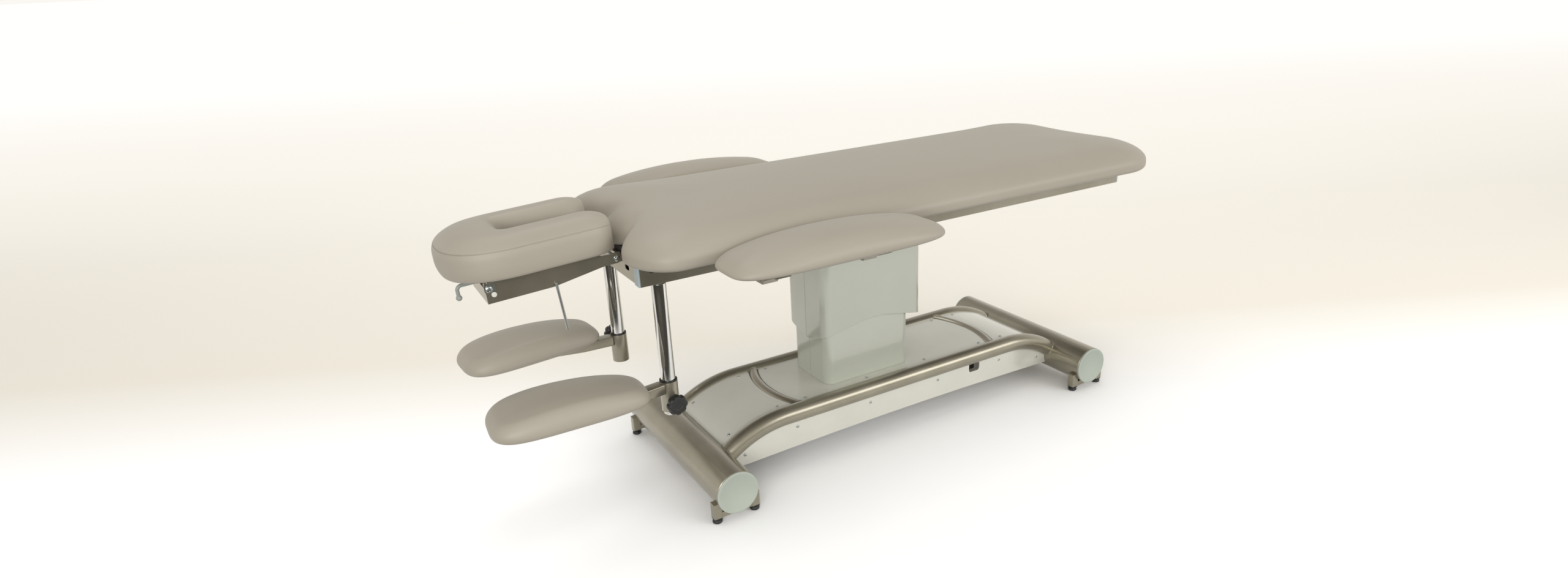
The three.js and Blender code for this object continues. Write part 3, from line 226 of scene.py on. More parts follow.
def fillet(points, radius, steps=4):
    """An open outline with each inner corner replaced by a quadratic curve that leaves and
    meets the two edges one radius away from the corner."""
    points = np.array(points, float)
    share = np.linspace(0, 1, steps + 1)[:, None]
    rows = [points[:1]]
    for before, corner, after in zip(points[:-2], points[1:-1], points[2:]):
        reach = [min(radius, 0.45 * np.linalg.norm(other - corner)) for other in (before, after)]
        start = corner + (before - corner) / np.linalg.norm(before - corner) * reach[0]
        stop = corner + (after - corner) / np.linalg.norm(after - corner) * reach[1]
        rows.append((1 - share) ** 2 * start + 2 * share * (1 - share) * corner + share ** 2 * stop)
    return np.concatenate(rows + [points[-1:]])


axis_orders = {"X": [2, 0, 1], "Y": [0, 2, 1], "Z": [0, 1, 2]}


def lathe(profile, centre, axis="Z", around=64):
    """Rings of a turned shape: each pair of radius and height swings once round the axis."""
    profile = np.array(profile, float)
    angle = np.linspace(0, 2 * np.pi, around, endpoint=False)
    height = np.broadcast_to(profile[:, 1:], (len(profile), around))
    ring = np.stack([profile[:, :1] * np.cos(angle), profile[:, :1] * np.sin(angle), height], -1)
    return ring[..., axis_orders[axis]] + np.array(centre)


def rounded_rectangle(width, height, corner, steps=6):
    """Points of a rectangle whose corners are quarter circles."""
    angle = np.linspace(0, np.pi / 2, steps + 1)
    parts = []
    for quarter, (x, y) in enumerate([(1, 1), (-1, 1), (-1, -1), (1, -1)]):
        turn = angle + quarter * np.pi / 2
        centre = [x * (width / 2 - corner), y * (height / 2 - corner)]
        parts.append(np.stack([np.cos(turn), np.sin(turn)], -1) * corner + centre)
    return np.concatenate(parts)


def prism(outline, low, high, centre=(0, 0, 0), axis="Z", edge=0.0006):
    """A flat outline carried along an axis from low to high, with its two rims stepped in a
    little, so that they catch the light as a pressed or cut edge does."""
    middle_point = outline.mean(0)
    reach = np.linalg.norm(outline - middle_point, axis=1, keepdims=True)
    drawn = outline - (outline - middle_point) / reach * edge
    stack = [(drawn, low), (outline, low + edge), (outline, high - edge), (drawn, high)]
    rings = np.stack([np.column_stack([plan, np.full(len(plan), place)]) for plan, place in stack])
    return skin(rings[..., axis_orders[axis]] + np.array(centre))


cap_low, cap_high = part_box("head_tube_cap_near")
tube_radius = (cap_high.x - cap_low.x) / 2
tube_z = (cap_high.z + cap_low.z) / 2
tube_x = {end: middle(f"{end}_tube_cap_near").x for end in ends}
base_x = (tube_x["head"] + tube_x["foot"]) / 2
tube_half = -cap_low.y - cap_thickness
leg_y = middle("levelling_foot_head_far_a").y
leg_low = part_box("head_cross_tube")[0].z

for end in ends:
    shell = [
        (tube_radius - tube_wall, -tube_half),
        (tube_radius - edge_round, -tube_half),
        (tube_radius, -tube_half + edge_round),
        (tube_radius, tube_half - edge_round),
        (tube_radius - edge_round, tube_half),
        (tube_radius - tube_wall, tube_half),
    ]
    parts = [skin(lathe(shell, (tube_x[end], 0, tube_z), "Y", 128), loop=True)]
    square = rounded_rectangle(leg_size, leg_size, leg_corner)
    strip = rounded_rectangle(leg_spread, leg_bar_width, leg_corner)
    for side in sides.values():
        for shift in (-1, 1):
            place = (tube_x[end] + shift * leg_spread / 2, side * leg_y, leg_low)
            parts.append(prism(square, 0, leg_height, place))
        parts.append(prism(strip, fit_gap, leg_bar_height, (tube_x[end], side * leg_y, leg_low)))
    make_piece(f"{end}_cross_tube_body", together(*parts), tube_paint, "base",
               [f"{end}_cross_tube"])


# End caps: flat discs pressed into the cross tubes, injection moulded in a pale grey green
# plastic, with a rounded rim.
cap_round = 0.0022
cap_step = 0.0006
cap_rim = 3 * cap_round
cap_dish = 3.4 * cap_round


def moulded_plastic(name, dark, light, roughness, grain, strength):
    # Injection moulded ABS: an even colour with a slight clouding, and a spark eroded grain in
    # the mould that breaks up the light. The grain is drawn at its spacing in the call.
    material, tree, place = new_material(name)
    cloud = add_node(tree, "TexNoise", {"Scale": 14.0, "Detail": 4.0}, {"Vector": place})
    spark = add_node(tree, "TexNoise", {"Scale": 1 / grain, "Detail": 2.0}, {"Vector": place})
    colour = blended(tree, dark, light, cloud)
    finish_material(tree, {"IOR": 1.53, "Specular IOR Level": 0.5}, colour,
                    (cloud, roughness * 0.85, roughness * 1.2), (spark, strength, 0.0002))
    return material


cap_plastic = moulded_plastic("grey_green_abs_cap", "A9B1A5", "B4BCB0", 0.42, 0.0011, 0.1)
for end in ends:
    for side, turn in sides.items():
        rim = fillet([
            (tube_radius - tube_wall, 0),
            (tube_radius, 0),
            (tube_radius, cap_thickness),
            (tube_radius - cap_rim, cap_thickness),
        ], cap_round, 6)
        face = [(tube_radius - cap_dish, cap_thickness - cap_step), (0, cap_thickness - cap_step)]
        profile = np.concatenate([[(0, 0)], rim, face]) * (1, turn)
        disc = lathe(profile, (tube_x[end], turn * tube_half, tube_z), "Y", 128)
        make_piece(f"{end}_{side}_end_cap", skin(disc), cap_plastic, "base",
                   [f"{end}_tube_cap_{side}"], crease=50)


# Levelling feet: moulded nylon domes on threaded steel stems, with a black nylon plug in the
# mouth of each leg that guides the stem.
plug_thickness = 0.0034
plug_depth = 0.002
plug_inset = 0.0008
sole_share = 0.85
shoulder_share = 0.78
rim_low = 0.0025
rim_high = 0.0055
shoulder_z = 0.0092
collar_radius = 0.0065
collar_low = 0.0108
collar_high = 0.0137
stem_radius = 0.004
stem_top = 0.030
foot_round = 0.0012
black_nylon = moulded_plastic("black_glass_filled_nylon", "0E0E0E", "1B1B1A", 0.48, 0.0008, 0.3)
for end in ends:
    for side in sides:
        for mark in "ab":
            node = f"levelling_foot_{end}_{side}_{mark}"
            low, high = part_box(node)
            radius = (high.x - low.x) / 2
            profile = fillet([
                (0, 0),
                (radius * sole_share, 0),
                (radius, rim_low),
                (radius, rim_high),
                (radius * shoulder_share, shoulder_z),
                (collar_radius, collar_low),
                (collar_radius, collar_high),
                (stem_radius, collar_high),
                (stem_radius, stem_top),
                (0, stem_top),
            ], foot_round, 3)
            centre = middle(node)
            foot = skin(lathe(profile, (centre.x, centre.y, 0), "Z", 40))
            make_piece(f"{node}_dome", foot, black_nylon, node, [node])
plugs = []
for end in ends:
    for side in sides.values():
        for shift in (-1, 1):
            square = rounded_rectangle(leg_size - plug_inset, leg_size - plug_inset, leg_corner)
            place = (tube_x[end] + shift * leg_spread / 2, side * leg_y, leg_low)
            plugs.append(prism(square, -plug_thickness, plug_depth, place))
make_piece("leg_plugs", together(*plugs), black_nylon, "base")


# Side tubes: long round steel tubes, straight in the middle and bent down at both ends into
# the cross tubes, where they are welded all round.
bend_radius = 0.300
bend_end_inset = 0.0298
bend_end_rise = 0.0119
bend_steps = 28
bead_radius = 0.0024
bead_ripple_share = 0.16
bead_pitch = 0.0042
side_run_up = 0.12
side_low, side_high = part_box("side_tube_far")
side_tube_radius = (side_high.y - side_low.y) / 2
side_tube_y = (side_high.y + side_low.y) / 2
side_tube_z = side_high.z - side_tube_radius
bend_drop = side_tube_z - tube_z - bend_end_rise
bend_angle = math.acos(1 - bend_drop / bend_radius)
half_base = tube_x["foot"] - base_x
straight_half = half_base - bend_end_inset - bend_radius * math.sin(bend_angle)


def swept(path, tangent, side, radius, around=56):
    """Rings of a round bar: at each point of a flat path a circle square to its tangent, with
    side the direction square to the path's plane. The radius may change along the path."""
    side = np.array(side, float)
    normal = np.cross(side, tangent)
    angle = np.linspace(0, 2 * np.pi, around, endpoint=False)[None, :, None]
    radius = np.broadcast_to(radius, len(path))[:, None, None]
    return path[:, None] + radius * (np.cos(angle) * side + np.sin(angle) * normal[:, None])


def bead(curve):
    """A weld bead along a closed curve: a thin tube whose radius swells once for each drop of
    weld metal. Its rings stand square to the curve."""
    step = np.roll(curve, -1, 0) - np.roll(curve, 1, 0)
    tangent = step / np.linalg.norm(step, axis=1, keepdims=True)
    out = curve - curve.mean(0)
    out -= tangent * (out * tangent).sum(1, keepdims=True)
    out /= np.linalg.norm(out, axis=1, keepdims=True)
    across = np.cross(tangent, out)
    run = np.linalg.norm(np.roll(curve, -1, 0) - curve, axis=1)
    drops = round(run.sum() / bead_pitch)
    phase = 2 * np.pi * drops * np.cumsum(run) / run.sum()
    radius = bead_radius * (1 + bead_ripple_share * np.sin(phase))[:, None, None]
    angle = np.linspace(0, 2 * np.pi, 10, endpoint=False)[None, :, None]
    rings = curve[:, None] + radius * (np.cos(angle) * out[:, None] + np.sin(angle) * across[:, None])
    return skin(rings, loop=True)


def joint_curve(start, direction, side, radius, axis_place, axis_name, target_radius, count=260):
    """Where a round bar meets a round tube: each line of the bar's surface, from start along
    direction, runs until its distance from the tube's axis equals the tube's radius."""
    normal = np.cross(side, direction)
    angle = np.linspace(0, 2 * np.pi, count, endpoint=False)[:, None]
    line = start + radius * (np.cos(angle) * side + np.sin(angle) * normal)
    keep = [0, 2] if axis_name == "Y" else [1, 2]
    offset = (line - axis_place)[:, keep]
    slope = np.array(direction)[keep]
    a = slope @ slope
    b = offset @ slope
    c = (offset ** 2).sum(1) - target_radius ** 2
    run = (-b - np.sqrt(np.maximum(b ** 2 - a * c, 0))) / a
    return line + run[:, None] * direction


side_curve = np.linspace(0, bend_angle, bend_steps)
bend_x = straight_half + bend_radius * np.sin(side_curve)
bend_z = side_tube_z - bend_radius * (1 - np.cos(side_curve))
for side, turn in sides.items():
    path = np.concatenate([
        np.stack([base_x - bend_x, np.full(bend_steps, turn * side_tube_y), bend_z], -1)[::-1],
        np.stack([base_x + bend_x, np.full(bend_steps, turn * side_tube_y), bend_z], -1),
    ])
    still = np.zeros(bend_steps)
    tangent = np.concatenate([
        np.stack([np.cos(side_curve), still, np.sin(side_curve)], -1)[::-1],
        np.stack([np.cos(side_curve), still, -np.sin(side_curve)], -1),
    ])
    bar = skin(swept(path, tangent, (0, 1, 0), side_tube_radius, 72))
    beads = []
    for end, sign in ends.items():
        stop = (base_x + sign * (half_base - bend_end_inset), turn * side_tube_y, tube_z + bend_end_rise)
        run = np.array([sign * math.cos(bend_angle), 0, -math.sin(bend_angle)])
        start = np.array(stop) - run * side_run_up
        beads.append(bead(joint_curve(start, run, np.array([0, 1.0, 0]), side_tube_radius,
                                      np.array([tube_x[end], 0, tube_z]), "Y", tube_radius)))
    make_piece(f"side_tube_{side}_body", together(bar, *beads), tube_paint, "base",
               [f"side_tube_{side}"])


# Crossbars: two thinner tubes between the side tubes, bowed towards the ends of the base, and
# welded to them.
crossbar_radius = 0.016
crossbar_inset = 0.2386
crossbar_bow = 0.290
crossbar_rise = 0.003
crossbar_run_up = 0.06
crossbar_z = side_tube_z + crossbar_rise
bow_centre = half_base - crossbar_inset - crossbar_bow
bow_reach = math.asin(side_tube_y / crossbar_bow)
bow_angle = np.linspace(-bow_reach, bow_reach, 41)
for end, sign in ends.items():
    path = np.stack([
        base_x + sign * (bow_centre + crossbar_bow * np.cos(bow_angle)),
        crossbar_bow * np.sin(bow_angle),
        np.full(len(bow_angle), crossbar_z),
    ], -1)
    tangent = np.stack([-sign * np.sin(bow_angle), np.cos(bow_angle), np.zeros(len(bow_angle))], -1)
    bar = skin(swept(path, tangent, (0, 0, 1), crossbar_radius, 48))
    beads = []
    for turn in sides.values():
        direction = np.array([-sign * math.sin(bow_reach), turn * math.cos(bow_reach), 0])
        stop_x = base_x + sign * (bow_centre + crossbar_bow * math.cos(bow_reach))
        start = np.array([stop_x, turn * side_tube_y, crossbar_z]) - direction * crossbar_run_up
        beads.append(bead(joint_curve(start, direction, np.array([0, 0, 1.0]), crossbar_radius,
                                      np.array([0, turn * side_tube_y, side_tube_z]), "X",
                                      side_tube_radius, 160)))
    make_piece(f"crossbar_{end}_body", together(bar, *beads), tube_paint, "base",
               [f"crossbar_{end}"])


# Sheet covers: three pressed steel sheets in a light silver powder coat, screwed down between
# the side tubes. The middle one is flat, the end ones follow the bend down to the cross tubes.
sheet_thickness = 0.0015
sheet_gap = 0.001
sheet_fit = 0.0004
hole_margin = 0.006
sheet_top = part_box("base_sheet_middle")[1].z
sheet_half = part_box("base_sheet_middle")[1].y
sheet_rise = sheet_top - side_tube_z
bar_chord = math.sqrt(crossbar_radius ** 2 - (sheet_rise - sheet_thickness - crossbar_rise) ** 2)
column_x = middle("column_middle_profile").x
column_low, column_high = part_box("column_middle_profile")


def powder_coat():
    # Polyester powder coat on sheet steel: a light silver grey with a clear shine, in which the
    # column is mirrored. Its orange peel of about 2 mm and a little dust break that up.
    material, tree, place = new_material("silver_powder_coat")
    dust = add_node(tree, "TexNoise", {"Scale": 6.0, "Detail": 5.0, "Roughness": 0.6}, {"Vector": place})
    fleck = add_node(tree, "TexNoise", {"Scale": 900.0, "Detail": 1.0}, {"Vector": place})
    share = add_node(tree, "Math", {"operation": "MULTIPLY_ADD", 1: 0.3}, {
        0: fleck, 2: dust,
    })
    colour = blended(tree, "CBCABF", "DDDCD1", share)
    peel = add_node(tree, "TexNoise", {"Scale": 480.0, "Detail": 1.0}, {"Vector": place})
    settings = {"Metallic": 0.2, "Coat Weight": 0.5, "Coat Roughness": 0.06}
    finish_material(tree, settings, colour, (dust, 0.14, 0.26), (peel, 0.05, 0.0002))
    return material


sheet_paint = powder_coat()


def slab(top, thickness=sheet_thickness):
    """A sheet from a grid of points on its upper face, given as row by column by axis: the lower
    face lies one thickness below, and the rim joins them."""
    rows, columns = top.shape[:2]
    rims = [
        [(0, column) for column in range(columns)],
        [(row, columns - 1) for row in range(1, rows)],
        [(rows - 1, column) for column in range(columns - 2, -1, -1)],
        [(row, 0) for row in range(rows - 2, 0, -1)],
    ]
    rim = [row * columns + column for part in rims for row, column in part]
    count = rows * columns
    row, column = np.meshgrid(np.arange(rows - 1), np.arange(columns - 1), indexing="ij")
    a = row * columns + column
    quads = np.stack([a, a + 1, a + columns + 1, a + columns], -1).reshape(-1, 4)
    faces = quads.tolist() + (quads[:, ::-1] + count).tolist()
    faces += [[i, j, j + count, i + count] for i, j in zip(rim, rim[1:] + rim[:1])]
    upper = top.reshape(-1, 3)
    return np.concatenate([upper, upper - (0, 0, thickness)]), faces


def bend_height(x, offset):
    """Height of a line that runs at an offset above the side tube's axis: level over the
    straight stretch, then round the bend's centre."""
    run = np.maximum(np.abs(x) - straight_half, 0)
    return side_tube_z - bend_radius + np.sqrt((bend_radius + offset) ** 2 - run ** 2)


across = np.linspace(-sheet_half, sheet_half, 33)
bow_edge = bow_centre + np.sqrt((crossbar_bow + bar_chord + sheet_gap) ** 2 - across ** 2)
meeting = np.linspace(half_base - 2 * tube_radius, half_base, 4000)
gap_to_tube = np.hypot(meeting - half_base, bend_height(meeting, sheet_rise) - tube_z) - tube_radius
sheet_end = meeting[np.argmax(gap_to_tube < sheet_fit)]
for end, sign in ends.items():
    share = np.linspace(0, 1, 41)[:, None]
    x = bow_edge[None] + (sheet_end - bow_edge[None]) * share
    grid = np.stack([base_x + sign * x, np.broadcast_to(across, x.shape), bend_height(x, sheet_rise)], -1)
    make_piece(f"base_sheet_{end}_panel", slab(grid), sheet_paint, "base",
               [f"base_sheet_{end}"])

hole_half = (np.array(column_high)[:2] - np.array(column_low)[:2]) / 2 + hole_margin
bow_inner = crossbar_bow - bar_chord - sheet_gap
limit = bow_centre + math.sqrt(bow_inner ** 2 - sheet_half ** 2)
hole_x = column_x - base_x
corners = [math.atan2(y * sheet_half, x * limit - hole_x) for x in (-1, 1) for y in (-1, 1)]
direction = np.sort(np.concatenate([np.linspace(-np.pi, np.pi, 144, endpoint=False), corners]))
reach = np.stack([np.cos(direction), np.sin(direction)], -1)
hole = reach * (hole_half / np.maximum(np.abs(reach), 1e-9)).min(1)[:, None]
side_run = sheet_half / np.maximum(np.abs(reach[:, 1]), 1e-9)
on_side = np.abs(hole_x + reach[:, 0] * side_run) <= limit + 1e-6
offset = hole_x - np.sign(reach[:, 0]) * bow_centre
slope = reach[:, 0] * offset
bow_run = np.sqrt(slope ** 2 - offset ** 2 + bow_inner ** 2) - slope
outer = reach * np.where(on_side, side_run, bow_run)[:, None]
share = np.linspace(0, 1, 9)[:, None, None]
plan = hole[None] + (outer - hole)[None] * share + (hole_x, 0)
top = np.concatenate([plan + (base_x, 0), np.full(plan.shape[:2] + (1,), sheet_top)], -1)
rings = np.concatenate([top, top[::-1] - (0, 0, sheet_thickness)])
make_piece("base_sheet_middle_panel", skin(rings, loop=True), sheet_paint, "base",
           ["base_sheet_middle"])


# Skirt plates: flat steel plates that hang under the side tubes and close the sides of the base, with an
# arched lower edge. The near one has a notch where a mains cable would leave. Behind it sits a black plate as
# painted shade, standing in for the dark inside of the base.
skirt_low = 0.050
skirt_gap = 0.001
skirt_fit = 0.060
skirt_arch = 0.009
arch_shift = 0.0228
arch_spare = 0.012
notch_half = 0.020
notch_low = 0.101
notch_round = 0.008
notch_clear = 0.001
notch_reach = 0.257
notch_x = base_x + notch_reach
shade_plate_width = 0.052
shade_plate_height = 0.036
shade_plate_depth = 0.004
shade_plate_corner = 0.004
shade_plate_rise = 0.010
shade_plate_set_back = 0.002
for side, turn in sides.items():
    low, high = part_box(f"skirt_{side}")
    x = np.linspace(low.x, high.x, 140)
    centre = base_x + arch_shift
    half = (high.x - low.x) / 2 + arch_spare
    bottom = skirt_low + skirt_arch * (1 - ((x - centre) / half) ** 2)
    roof = bend_height(x - base_x, 0)
    if side == "near":
        ramp = np.linspace(0, 1, 9)
        corner_x = notch_half - notch_round * (1 - np.sin(ramp * np.pi / 2))
        corner_z = notch_low + notch_round * (1 - np.cos(ramp * np.pi / 2))
        inside = np.concatenate([-corner_x[::-1], corner_x]) + notch_x
        floor_z = np.concatenate([corner_z[::-1], corner_z])
        edges = notch_x + np.array([-notch_half, notch_half])
        before = x < edges[0] - notch_clear
        after = x > edges[1] + notch_clear
        x = np.concatenate([x[before], edges[:1] - 1e-5, inside, edges[1:] + 1e-5, x[after]])
        bottom = skirt_low + skirt_arch * (1 - ((x - centre) / half) ** 2)
        tube_line = bend_height(edges - base_x, 0)
        roof = np.concatenate([roof[before], tube_line[:1], floor_z, tube_line[1:], roof[after]])
    share = np.linspace(0, 1, 9)[:, None]
    z = bottom[None] + (roof - bottom)[None] * share
    to_tube = np.sqrt((tube_radius + skirt_gap) ** 2 - np.clip(z - tube_z, -tube_radius, tube_radius) ** 2)
    spare = half_base - to_tube - np.abs(np.clip(x, low.x, high.x) - base_x)
    near_end = np.clip((np.abs(x - base_x) - (high.x - low.x) / 2 + skirt_fit) / skirt_fit, 0, 1)
    x = x + np.sign(x - base_x) * spare * near_end
    faces = []
    for y in sorted((low.y, high.y), key=abs, reverse=True):
        faces.append(np.stack([np.broadcast_to(x, z.shape), np.full(z.shape, y), z], -1))
    outer_face, inner_face = faces
    loops = np.concatenate([outer_face, inner_face[::-1]])
    make_piece(f"skirt_{side}_plate", skin(loops.transpose(1, 0, 2)), sheet_paint, "base",
               [f"skirt_{side}"])
# Painted shade: a black plate just behind the notch, where the inside of the base is in shade.
shade_plate_plan = rounded_rectangle(shade_plate_width, shade_plate_height, shade_plate_corner)
shade_plate_place = (notch_x, side_tube_radius - side_tube_y, notch_low + shade_plate_rise)
shade_plate = prism(shade_plate_plan, shade_plate_set_back, shade_plate_set_back + shade_plate_depth, shade_plate_place, "Y")
make_piece("notch_painted_shade_plate", shade_plate, black_nylon, "base")


# Screws of the base: zinc plated pan head screws with a cross recess, driven through the sheet
# covers and the skirt plates.
screw_radius = 0.0044
screw_height = 0.0024
recess_width = 0.0011
recess_depth = 0.0011
recess_share = 0.62
dome_rim_share = 0.35
dome_root_share = 0.3
sheet_screws = [(0.305, 0.110), (0.102, 0.106), (0.392, 0.110), (0.536, 0.108)]
skirt_screws = [(0.512, 0.080), (0.354, 0.112), (0.119, 0.112)]
skirt_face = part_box("skirt_far")[1].y


def zinc_plate(name, dark, light, roughness):
    # Zinc plated steel, clear passivated: a cool grey metal with a fine mottle of crystals
    # about 1.5 mm wide, and a dull shine.
    material, tree, place = new_material(name)
    crystal = add_node(tree, "TexNoise", {"Scale": 650.0, "Detail": 3.0}, {"Vector": place})
    colour = blended(tree, dark, light, crystal)
    finish_material(tree, {"Metallic": 1.0}, colour, (crystal, roughness, roughness + 0.14))
    return material


zinc = zinc_plate("clear_zinc_plate", "A2A6A4", "CDD0CC", 0.24)


def screw_head(place, outward, radius=screw_radius, height=screw_height):
    """A domed head on a polar grid, standing on a surface with the given outward direction. The
    dome is a flat ellipse in section, pressed in where a point lies in the arms of a cross."""
    outward = np.array(outward, float)
    helper = np.array([0, 0, 1.0]) if abs(outward[2]) < 0.9 else np.array([1.0, 0, 0])
    first = np.cross(helper, outward)
    first /= np.linalg.norm(first)
    second = np.cross(outward, first)
    share = np.array([1, 1, 0.92, 0.8, 0.66, 0.6, 0.42, 0.3, 0.2, 0])[:, None]
    angle = np.linspace(0, 2 * np.pi, 24, endpoint=False)[None]
    x = share * np.cos(angle)
    y = share * np.sin(angle)
    rise = dome_rim_share + (1 - dome_rim_share) * np.sqrt(np.clip(1 - share ** 2, 0, 1)) + 0 * angle
    rise[0] = -dome_root_share
    slot_share = recess_width / screw_radius / 2
    in_cross = (np.minimum(np.abs(x), np.abs(y)) < slot_share) & (share < recess_share)
    rise = rise - in_cross * recess_depth / screw_height
    rings = (x[..., None] * first + y[..., None] * second) * radius + rise[..., None] * outward * height
    return skin(rings + np.array(place))


heads = []
for sign in ends.values():
    for turn in sides.values():
        for x, y in sheet_screws:
            slope = math.asin(max(x - straight_half, 0) / (bend_radius + sheet_rise))
            place = (base_x + sign * x, turn * y, float(bend_height(np.array(x), sheet_rise)))
            heads.append(screw_head(place, (sign * math.sin(slope), 0, math.cos(slope))))
        for x, z in skirt_screws:
            heads.append(screw_head((base_x + sign * x, turn * skirt_face, z), (0, turn, 0)))
make_piece("base_screws", together(*heads), zinc, "base", crease=30)


# Column covers: four half shells moulded in a glossy grey green plastic. The lower pair stands
# on the base, the upper pair hangs over it and ends in a wavy edge.
cover_wall = 0.003
cover_corner = 0.025
cover_slit = 0.0016
cover_edge = 0.0007
cover_lip = 0.0018
lip_share = 0.3
upper_wave = 0.026
upper_low = 0.311


def gloss_plastic():
    # Glossy ABS from a polished mould: a grey green with sharp highlights. Long shallow sink
    # marks bend the reflections, and light handling dulls the shine in soft patches.
    material, tree, place = new_material("grey_green_gloss_abs")
    cloud = add_node(tree, "TexNoise", {"Scale": 7.0, "Detail": 4.0}, {"Vector": place})
    wave = add_node(tree, "TexNoise", {"Scale": 22.0, "Detail": 0.0}, {"Vector": place})
    colour = blended(tree, "B5B8AB", "BEC1B4", cloud)
    settings = {"IOR": 1.53, "Specular IOR Level": 0.6, "Coat Weight": 0.5, "Coat Roughness": 0.04}
    finish_material(tree, settings, colour, (cloud, 0.1, 0.2), (wave, 0.1, 0.001))
    return material


cover_plastic = gloss_plastic()


def half_shell(node, turn, wavy):
    """A wall round three sides of a rounded rectangle, from the slit at one end to the slit at
    the other: its section is a tall thin rectangle with cut corners, carried along the plan.
    A wavy lower edge is lowest at the slits and highest in the middle of the long side."""
    low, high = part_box(node)
    half_length = (high.x - low.x) / 2
    half_width = max(abs(low.y), abs(high.y))
    centre_x = (low.x + high.x) / 2
    corner_x = half_length - cover_corner
    corner_y = half_width - cover_corner
    arc = np.linspace(0, np.pi / 2, 15)
    run = np.linspace(cover_slit / 2, corner_y, 10)[:-1]
    side_run = np.linspace(corner_x, 0, 20)[1:]
    x = np.concatenate([np.full(9, half_length), corner_x + cover_corner * np.cos(arc), side_run])
    y = np.concatenate([run, corner_y + cover_corner * np.sin(arc), np.full(19, half_width)])
    normal = np.concatenate([np.tile([1.0, 0], (9, 1)), np.stack([np.cos(arc), np.sin(arc)], -1),
                             np.tile([0, 1.0], (19, 1))])
    plan = np.concatenate([np.stack([x, y], -1), np.stack([-x, y], -1)[-2::-1]])
    normal = np.concatenate([normal, (normal * (-1, 1))[-2::-1]])
    along = (plan[:, 0] / half_length / 2) ** 2
    over = (plan[:, 1] / half_width / 2) ** 2
    floor_z = np.full(len(plan), low.z)
    if wavy:
        floor_z = upper_low - upper_wave * (along - over) / (along + over)
    lip = cover_lip if wavy else cover_edge
    roof_z = np.full(len(plan), high.z)
    section = [
        (0, floor_z + lip),
        (0, roof_z - cover_edge),
        (cover_edge, roof_z),
        (cover_wall - cover_edge, roof_z),
        (cover_wall, roof_z - cover_edge),
        (cover_wall, floor_z + cover_edge),
        (cover_wall - cover_edge, floor_z),
        (lip, floor_z),
        (lip * lip_share, floor_z + lip * lip_share),
    ]
    rings = np.stack([np.column_stack([plan - normal * inset, height]) for inset, height in section], 1)
    return skin(rings * (1, turn, 1) + (centre_x, 0, 0))


for pair, wavy, body in (("lower", False, "base"), ("upper", True, "table_top")):
    for side, turn in sides.items():
        node = f"{pair}_cover_{side}"
        make_piece(f"{node}_shell", half_shell(node, turn, wavy), cover_plastic, body,
                   [node], crease=30)


# Lift column: nested anodised aluminium profiles with the drive inside, hidden by the covers
# except where the column shows above or below them.
def anodised_aluminium():
    # Extruded and natural anodised aluminium: a pale grey metal with die lines along its
    # length, 0.5 mm apart, and a silky shine.
    material, tree, place = new_material("natural_anodised_aluminium")
    turned = add_node(tree, "Mapping", {"Scale": (2000.0, 2000.0, 4.0)}, {"Vector": place})
    lines = add_node(tree, "TexNoise", {"Scale": 1.0, "Detail": 2.0}, {"Vector": turned})
    colour = blended(tree, "9FA2A2", "BCBEBD", lines)
    finish_material(tree, {"Metallic": 1.0, "Roughness": 0.38}, colour, relief=(lines, 0.2, 0.0001))
    return material


def dress(node, material):
    """Gives a kept node its material."""
    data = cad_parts[node].data
    data.materials.clear()
    data.materials.append(material)


aluminium = anodised_aluminium()
for node in ("column_outer_profile", "column_middle_profile", "column_inner_profile", "actuator_tube"):
    dress(node, aluminium)
dress("lift_motor", black_nylon)


# Top frame: two box section rails and two cross members, welded and coated like the base, with
# the sockets for the side arm rests. Each rail end is closed by a blue grey plastic plug.
rail_cap_thickness = 0.0045
rail_cap_overlap = 0.0004
rail_cap_corner = 0.003
rail_cap_round = 0.001
rail_width = 0.025
for node in ("rail_near", "rail_far", "head_cross_member", "foot_cross_member"):
    dress(node, tube_paint)
for side in sides:
    dress(f"side_arm_bracket_{side}", tube_paint)
plug_plastic = moulded_plastic("blue_grey_polyethylene_plug", "AEBABD", "BDC9CB", 0.5, 0.0012, 0.1)
rail_z_low, rail_z_high = (corner.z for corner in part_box("foot_cross_member"))
rail_low, rail_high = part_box("rail_far")
rail_y = rail_low.y + rail_width / 2
plugs = []
for turn in sides.values():
    for x, direction in ((rail_low.x, -1), (rail_high.x, 1)):
        plan = rounded_rectangle(rail_width + rail_cap_overlap, rail_z_high - rail_z_low + rail_cap_overlap,
                                 rail_cap_corner)
        span = sorted((0, direction * rail_cap_thickness))
        place = (x, turn * rail_y, (rail_z_low + rail_z_high) / 2)
        plugs.append(prism(plan, *span, place, "X", rail_cap_round))
make_piece("rail_end_plugs", together(*plugs), plug_plastic, "table_top")


# Board: the panel of birch plywood that is screwed to the rails and carries the foam. It is coloured near
# black as painted shade, so that its edge shows as the dark shadow line between the rails and the cushion.
ply_thickness = 0.0014


def plywood():
    # Birch plywood coloured near black as painted shade for the shadow under the cushion's edge: plies 1.4 mm
    # thick show as stripes on its edge, with darker glue lines, and long soft grain runs over its faces.
    material, tree, place = new_material("birch_plywood_dark_as_painted_shade")
    parts = add_node(tree, "SeparateXYZ", links={0: place})
    stripe = add_node(tree, "Math", {"operation": "PINGPONG", 1: ply_thickness}, {0: parts.outputs["Z"]})
    ply = add_node(tree, "MapRange", {"From Max": ply_thickness}, {"Value": stripe})
    stretched = add_node(tree, "Mapping", {"Scale": (4.0, 90.0, 90.0)}, {"Vector": place})
    grain = add_node(tree, "TexNoise", {"Scale": 1.5, "Detail": 6.0}, {"Vector": stretched})
    share = add_node(tree, "Math", {"operation": "MULTIPLY_ADD", 1: 0.5}, {
        0: ply, 2: grain,
    })
    # Painted shade: these near black tones stand in for the shadow between the rails and the cushion.
    colour = blended(tree, "16130F", "2B2620", share)
    finish_material(tree, {"Roughness": 0.68}, colour, relief=(grain, 0.2, 0.0003))
    return material


dress("table_board", plywood())


